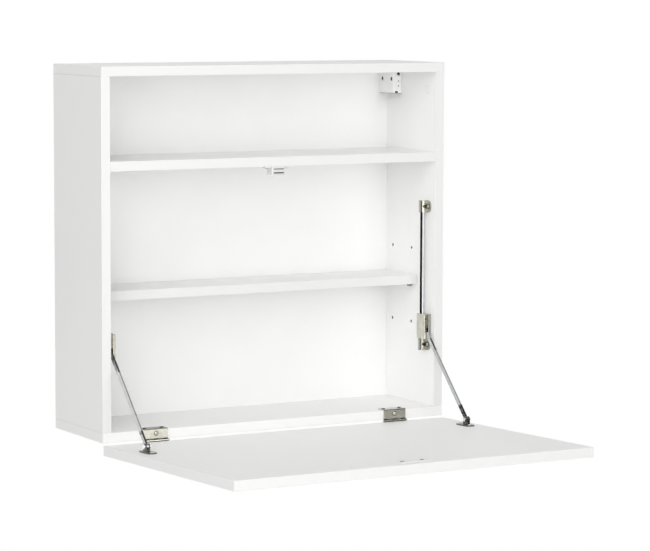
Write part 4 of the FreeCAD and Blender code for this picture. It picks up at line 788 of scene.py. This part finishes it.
def makeScrewTree(look):
    tree = growTree("screws", [
        ("Head Radius", "NodeSocketFloat"), ("Head Height", "NodeSocketFloat"),
        ("Shank Radius", "NodeSocketFloat"), ("Length", "NodeSocketFloat"),
        ("Finish", "NodeSocketMaterial"),
    ])
    grow = Growing(tree)
    given = grow.given.outputs
    head, rise = given["Head Radius"], given["Head Height"]
    shank, length = given["Shank Radius"], given["Length"]

    # domed head: a short line whose radius falls off towards its top
    peak = grow.node("ShaderNodeCombineXYZ", {}, {"Z": rise})
    line = grow.node("GeometryNodeCurvePrimitiveLine", {}, {"End": peak})
    line = grow.node("GeometryNodeResampleCurve", {}, {
        "Curve": line, "Count": look["domeRings"],
    })
    share = grow.node("GeometryNodeSplineParameter")
    drop = grow.maths("MULTIPLY", grow.maths("POWER", share, look["domePower"]), look["domeDrop"])
    radius = grow.maths("MULTIPLY", head, grow.maths("SQRT", grow.maths("SUBTRACT", 1.0, drop)))
    rim = grow.node("GeometryNodeCurvePrimitiveCircle", {}, {
        "Resolution": look["headSides"], "Radius": 1.0,
    })
    dome = grow.node("GeometryNodeCurveToMesh", {}, {
        "Curve": line, "Profile Curve": rim, "Scale": radius, "Fill Caps": True,
    })

    # cross recess, deeper at its centre
    width = grow.maths("MULTIPLY", head, look["recessWidth"])
    reach = grow.maths("MULTIPLY", head, 2 * look["recessReach"])
    depth = grow.maths("MULTIPLY", rise, 2 * look["recessDepth"])
    arms = []
    for x, y in ((width, reach), (reach, width)):
        size = grow.node("ShaderNodeCombineXYZ", {}, {"X": x, "Y": y, "Z": depth})
        arms.append(grow.node("GeometryNodeMeshCube", {}, {"Size": size}))
    cutter = grow.node("GeometryNodeMeshBoolean", {"operation": "UNION", "solver": "EXACT"}, {
        "Mesh 2": arms,
    })
    cutter = grow.move(cutter, rise)
    dome = grow.node("GeometryNodeMeshBoolean", {"operation": "DIFFERENCE", "solver": "EXACT"}, {
        "Mesh 1": dome, "Mesh 2": [cutter],
    })

    # shank, point and thread
    core = grow.maths("MULTIPLY", shank, look["coreRadius"])
    tip = grow.maths("MULTIPLY", shank, look["tip"])
    straight = grow.maths("SUBTRACT", length, tip)
    bar = grow.node("GeometryNodeMeshCylinder", {}, {
        "Vertices": look["coreSides"], "Radius": core, "Depth": straight,
    })
    bar = grow.move(bar, grow.maths("MULTIPLY", straight, -0.5))
    point = grow.node("GeometryNodeMeshCone", {}, {
        "Vertices": look["coreSides"], "Radius Top": 0.0, "Radius Bottom": core, "Depth": tip,
    })
    point = grow.move(point, grow.maths("MULTIPLY", straight, -1.0), (math.pi, 0, 0))
    pitch = grow.maths("MULTIPLY", shank, look["pitch"])
    turns = grow.maths("FLOOR", grow.maths("DIVIDE", straight, pitch))
    threaded = grow.maths("MULTIPLY", turns, pitch)
    coil = grow.node("GeometryNodeCurveSpiral", {}, {
        "Resolution": look["turnSteps"], "Rotations": turns, "Height": threaded,
        "Start Radius": core, "End Radius": core,
    })
    crest = grow.maths("MULTIPLY", grow.maths("SUBTRACT", shank, core), look["crest"])
    wedge = grow.node("GeometryNodeCurvePrimitiveCircle", {}, {"Resolution": 3, "Radius": 1.0})
    thread = grow.node("GeometryNodeCurveToMesh", {}, {
        "Curve": coil, "Profile Curve": wedge, "Scale": crest, "Fill Caps": True,
    })
    thread = grow.move(thread, grow.maths("MULTIPLY", threaded, -1.0))
    screw = grow.node("GeometryNodeJoinGeometry", {}, {"Geometry": [dome, bar, point, thread]})

    kind = {"data_type": "FLOAT_VECTOR"}
    aim = grow.node("GeometryNodeInputNamedAttribute", kind, {"Name": "aim"})
    turn = grow.node("FunctionNodeAlignRotationToVector", {"axis": "Z"}, {"Vector": aim})
    spread = grow.node("GeometryNodeInstanceOnPoints", {}, {
        "Points": given["Geometry"], "Instance": screw, "Rotation": turn,
    })
    real = grow.node("GeometryNodeRealizeInstances", {}, {"Geometry": spread})
    sockets = {"Geometry": real, "Material": given["Finish"]}
    dressed = grow.node("GeometryNodeSetMaterial", {}, sockets)
    grow.node("NodeGroupOutput", {}, {"Geometry": dressed})
    return tree


def giveInputs(modifier, values):  # a modifier's inputs go by their identifiers
    for item in modifier.node_group.interface.items_tree:
        if item.item_type == "SOCKET" and item.in_out == "INPUT" and item.name in values:
            modifier[item.identifier] = values[item.name]


def bake(piece):  # the evaluated shape becomes the piece's own plain mesh
    graph = bpy.context.evaluated_depsgraph_get()
    shape = bpy.data.meshes.new_from_object(piece.evaluated_get(graph))
    piece.modifiers.clear()
    piece.data = shape


def seatedPoints(name, seats):
    mesh = bpy.data.meshes.new(name)
    mesh.from_pydata([seat["seat"] for seat in seats], [], [])
    aims = mesh.attributes.new("aim", "FLOAT_VECTOR", "POINT")
    for number, seat in enumerate(seats):
        aims.data[number].vector = seat["aim"]
    piece = bpy.data.objects.new(name, mesh)
    bpy.context.scene.collection.objects.link(piece)
    return piece


screwSets = {  # body, material slot, nodes
    "cabinet_screws": ("root", "nickel", ("hinge_cabinet_screws", "stay_bracket_screws")),
    "catch_fixings": ("root", "zinc_steel", ("catch_screws",)),
    "carcass_screws": ("root", "zinc_steel", ("bottom_screws",)),
    "flap_fixings": ("flap", "nickel", ("hinge_flap_screws", "stay_flap_screws")),
    "keeper_fixings": ("flap", "nickel", ("keeper_screws",)),
}
screwTree = makeScrewTree(screwLook)
for name, (body, finish, nodes) in screwSets.items():
    seats = [screwSeat(points, seatLook) for node in nodes for points in looseSolids(node)]
    piece = seatedPoints(name, seats)
    modifier = piece.modifiers.new("screws", "NODES")
    modifier.node_group = screwTree
    giveInputs(modifier, {
        "Head Radius": seats[0]["headRadius"], "Head Height": seats[0]["headHeight"],
        "Shank Radius": seats[0]["shankRadius"], "Length": seats[0]["length"],
        "Finish": finishes.get(name, finishes[finish]),
    })
    bake(piece)
    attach(piece, body)
    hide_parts(*nodes)
    print(name, len(seats), "screws,", len(piece.data.polygons), "faces")


# --- Floor, flags and light
floorLook = {
    "place": (0, -0.2, -1.26), "colour": (0.9, 0.9, 0.9), "roughness": 0.9,
    "radius": 2.3, "sides": 96,
    "solid": 1.1, "clear": 2.254,  # it fades out between these distances from its centre
}
flagLook = [  # cards that only glossy rays meet, which paint dark reflections into the metals
    {"place": (-2.6, -1.55, -0.1), "size": (2.5, 3.0), "facing": (0.90, 0.44, 0), "tone": "black"},
    {"place": (2.1, -2.6, -0.2), "size": (1.5, 2.6), "facing": (-0.62, 0.78, 0), "tone": "black"},
    {"place": (1.35, -0.35, 1.75), "size": (1.7, 1.2), "facing": (0, 0, -1), "tone": "grey"},
]
cardTones = {"black": 0.01, "grey": 0.12, "pale": 0.85}
rodCardLook = {
    "reach": 0.009, "steps": 16,
    "arcs": {"black": (100, 228), "pale": (228, 264)},  # degrees from +X, outwards
}
lightLook = {
    "world": 0.285,
    "aim": (0, 0, -0.25),
    "size": 2.4,
    "sizes": {"rear": 0.5, "near_front": 2.0, "right": 1.2},
    "matteOnly": ("overhead", "right"),  # not mirrored in the chrome
    "lamps": {  # place and power
        "front_left": ((-2.2, -4.3, 0.6), 36.5),
        "front": ((0.2, -5.0, -0.2), 14.3),
        "near_front": ((0.1, -2.5, 0.15), 14),
        "front_low": ((0.2, -4.4, -2.6), 34.5),
        "left": ((-4.4, -1.2, 0.3), 25),
        "left_high": ((-2.8, -2.8, 2.4), 50),
        "far_left": ((-4.0, -3.2, -0.3), 21),
        "overhead": ((0.0, -0.8, 4.4), 38.5),
        "rear": ((0.0, 4.2, 0.1), 46),
        "right": ((4.2, 0.8, -0.45), 48),
    },
}


def addStage(name, faces, finish):
    mesh = bmesh.new()
    for corners in faces:
        mesh.faces.new([mesh.verts.new(corner) for corner in corners])
    bmesh.ops.remove_doubles(mesh, verts=mesh.verts, dist=samePoint)
    data = bpy.data.meshes.new(name)
    mesh.to_mesh(data)
    mesh.free()
    data.materials.append(finish)
    piece = bpy.data.objects.new(name, data)
    bpy.context.scene.collection.objects.link(piece)
    return piece


def addFloor(look):
    material, shading = newFinish("floor")
    spot = shading.place()
    far = shading.node("ShaderNodeVectorMath", {"operation": "LENGTH"}, {0: spot}, take="Value")
    pale = shading.node("ShaderNodeBsdfPrincipled", {}, {
        "Base Color": (*look["colour"], 1), "Roughness": look["roughness"],
    })
    clear = shading.node("ShaderNodeBsdfTransparent")
    sockets = {0: far.fade(look["solid"], look["clear"]), 1: pale, 2: clear}
    mixed = shading.node("ShaderNodeMixShader", {}, sockets)
    shading.node("ShaderNodeOutputMaterial", {}, {"Surface": mixed})
    rim = []
    for step in range(look["sides"]):
        angle = 2 * math.pi * step / look["sides"]
        rim.append((look["radius"] * math.cos(angle), look["radius"] * math.sin(angle), 0))
    floor = addStage("floor", [rim], material)
    floor.location = look["place"]


def hideCard(card):  # a card is met by glossy rays alone
    card.visible_camera = False
    card.visible_diffuse = False
    card.visible_transmission = False
    card.visible_shadow = False


def addRodCard(side, sign, tone, look):  # beside a stay's rod, from its slider to its top bracket; paints dark and pale reflections into the rod
    centre = boxCentre("stay_rod_" + side)
    ends = (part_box("slider_housing_" + side)[1][2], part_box("stay_top_bracket_" + side)[0][2])
    start, end = look["arcs"][tone]
    columns = []
    for step in range(look["steps"] + 1):
        angle = math.radians(start + (end - start) * step / look["steps"])
        x, y = sign * look["reach"] * math.cos(angle), look["reach"] * math.sin(angle)
        columns.append([(centre.x + x, centre.y + y, z) for z in ends])
    faces = [
        (first[0], second[0], second[1], first[1]) for first, second in zip(columns, columns[1:])
    ]
    hideCard(addStage(f"rod_card_{tone}_{side}", faces, cards[tone]))


def addFlag(number, finish, look):
    turn = Vector(look["facing"]).to_track_quat("Z", "Y")
    wide, tall = (length / 2 for length in look["size"])
    corners = [
        Vector(look["place"]) + turn @ Vector((x * wide, y * tall, 0))
        for x, y in ((-1, -1), (1, -1), (1, 1), (-1, 1))
    ]
    hideCard(addStage(f"flag_{number}", [corners], finish))


def addLamp(name, place, power, look):
    data = bpy.data.lights.new(name, "AREA")
    data.shape = "SQUARE"
    data.size = look["sizes"].get(name, look["size"])
    data.energy = power
    lamp = bpy.data.objects.new(name, data)
    lamp.visible_glossy = name not in look["matteOnly"]
    aim = (Vector(look["aim"]) - Vector(place)).to_track_quat("-Z", "Y")
    lamp.matrix_world = Matrix.Translation(place) @ aim.to_matrix().to_4x4()
    bpy.context.scene.collection.objects.link(lamp)


def addWorld(strength):
    world = bpy.data.worlds.new("studio")
    world.use_nodes = True
    shading = Shading(world.node_tree)
    camera, glossy, clear = (
        shading.node("ShaderNodeLightPath", take=name)
        for name in ("Is Camera Ray", "Is Glossy Ray", "Is Transmission Ray")
    )
    seen = camera.largerOf(glossy).largerOf(clear)
    power = seen * (1 - strength) + strength
    back = shading.node("ShaderNodeBackground", {}, {"Color": (1, 1, 1, 1), "Strength": power})
    shading.node("ShaderNodeOutputWorld", {}, {"Surface": back})
    bpy.context.scene.world = world


addFloor(floorLook)
cards = {}
for name, tone in cardTones.items():
    cards[name], shading = newFinish(name + "_card")
    shading.surface(Base_Color=(tone, tone, tone, 1), Roughness=1.0, Specular_IOR_Level=0.0)
for number, look in enumerate(flagLook):
    addFlag(number, cards[look["tone"]], look)
for side, sign in (("left", -1), ("right", 1)):
    for tone in rodCardLook["arcs"]:
        addRodCard(side, sign, tone, rodCardLook)
addWorld(lightLook["world"])
for name, (place, power) in lightLook["lamps"].items():
    addLamp(name, place, power, lightLook)
print("floor, flags and lights set")
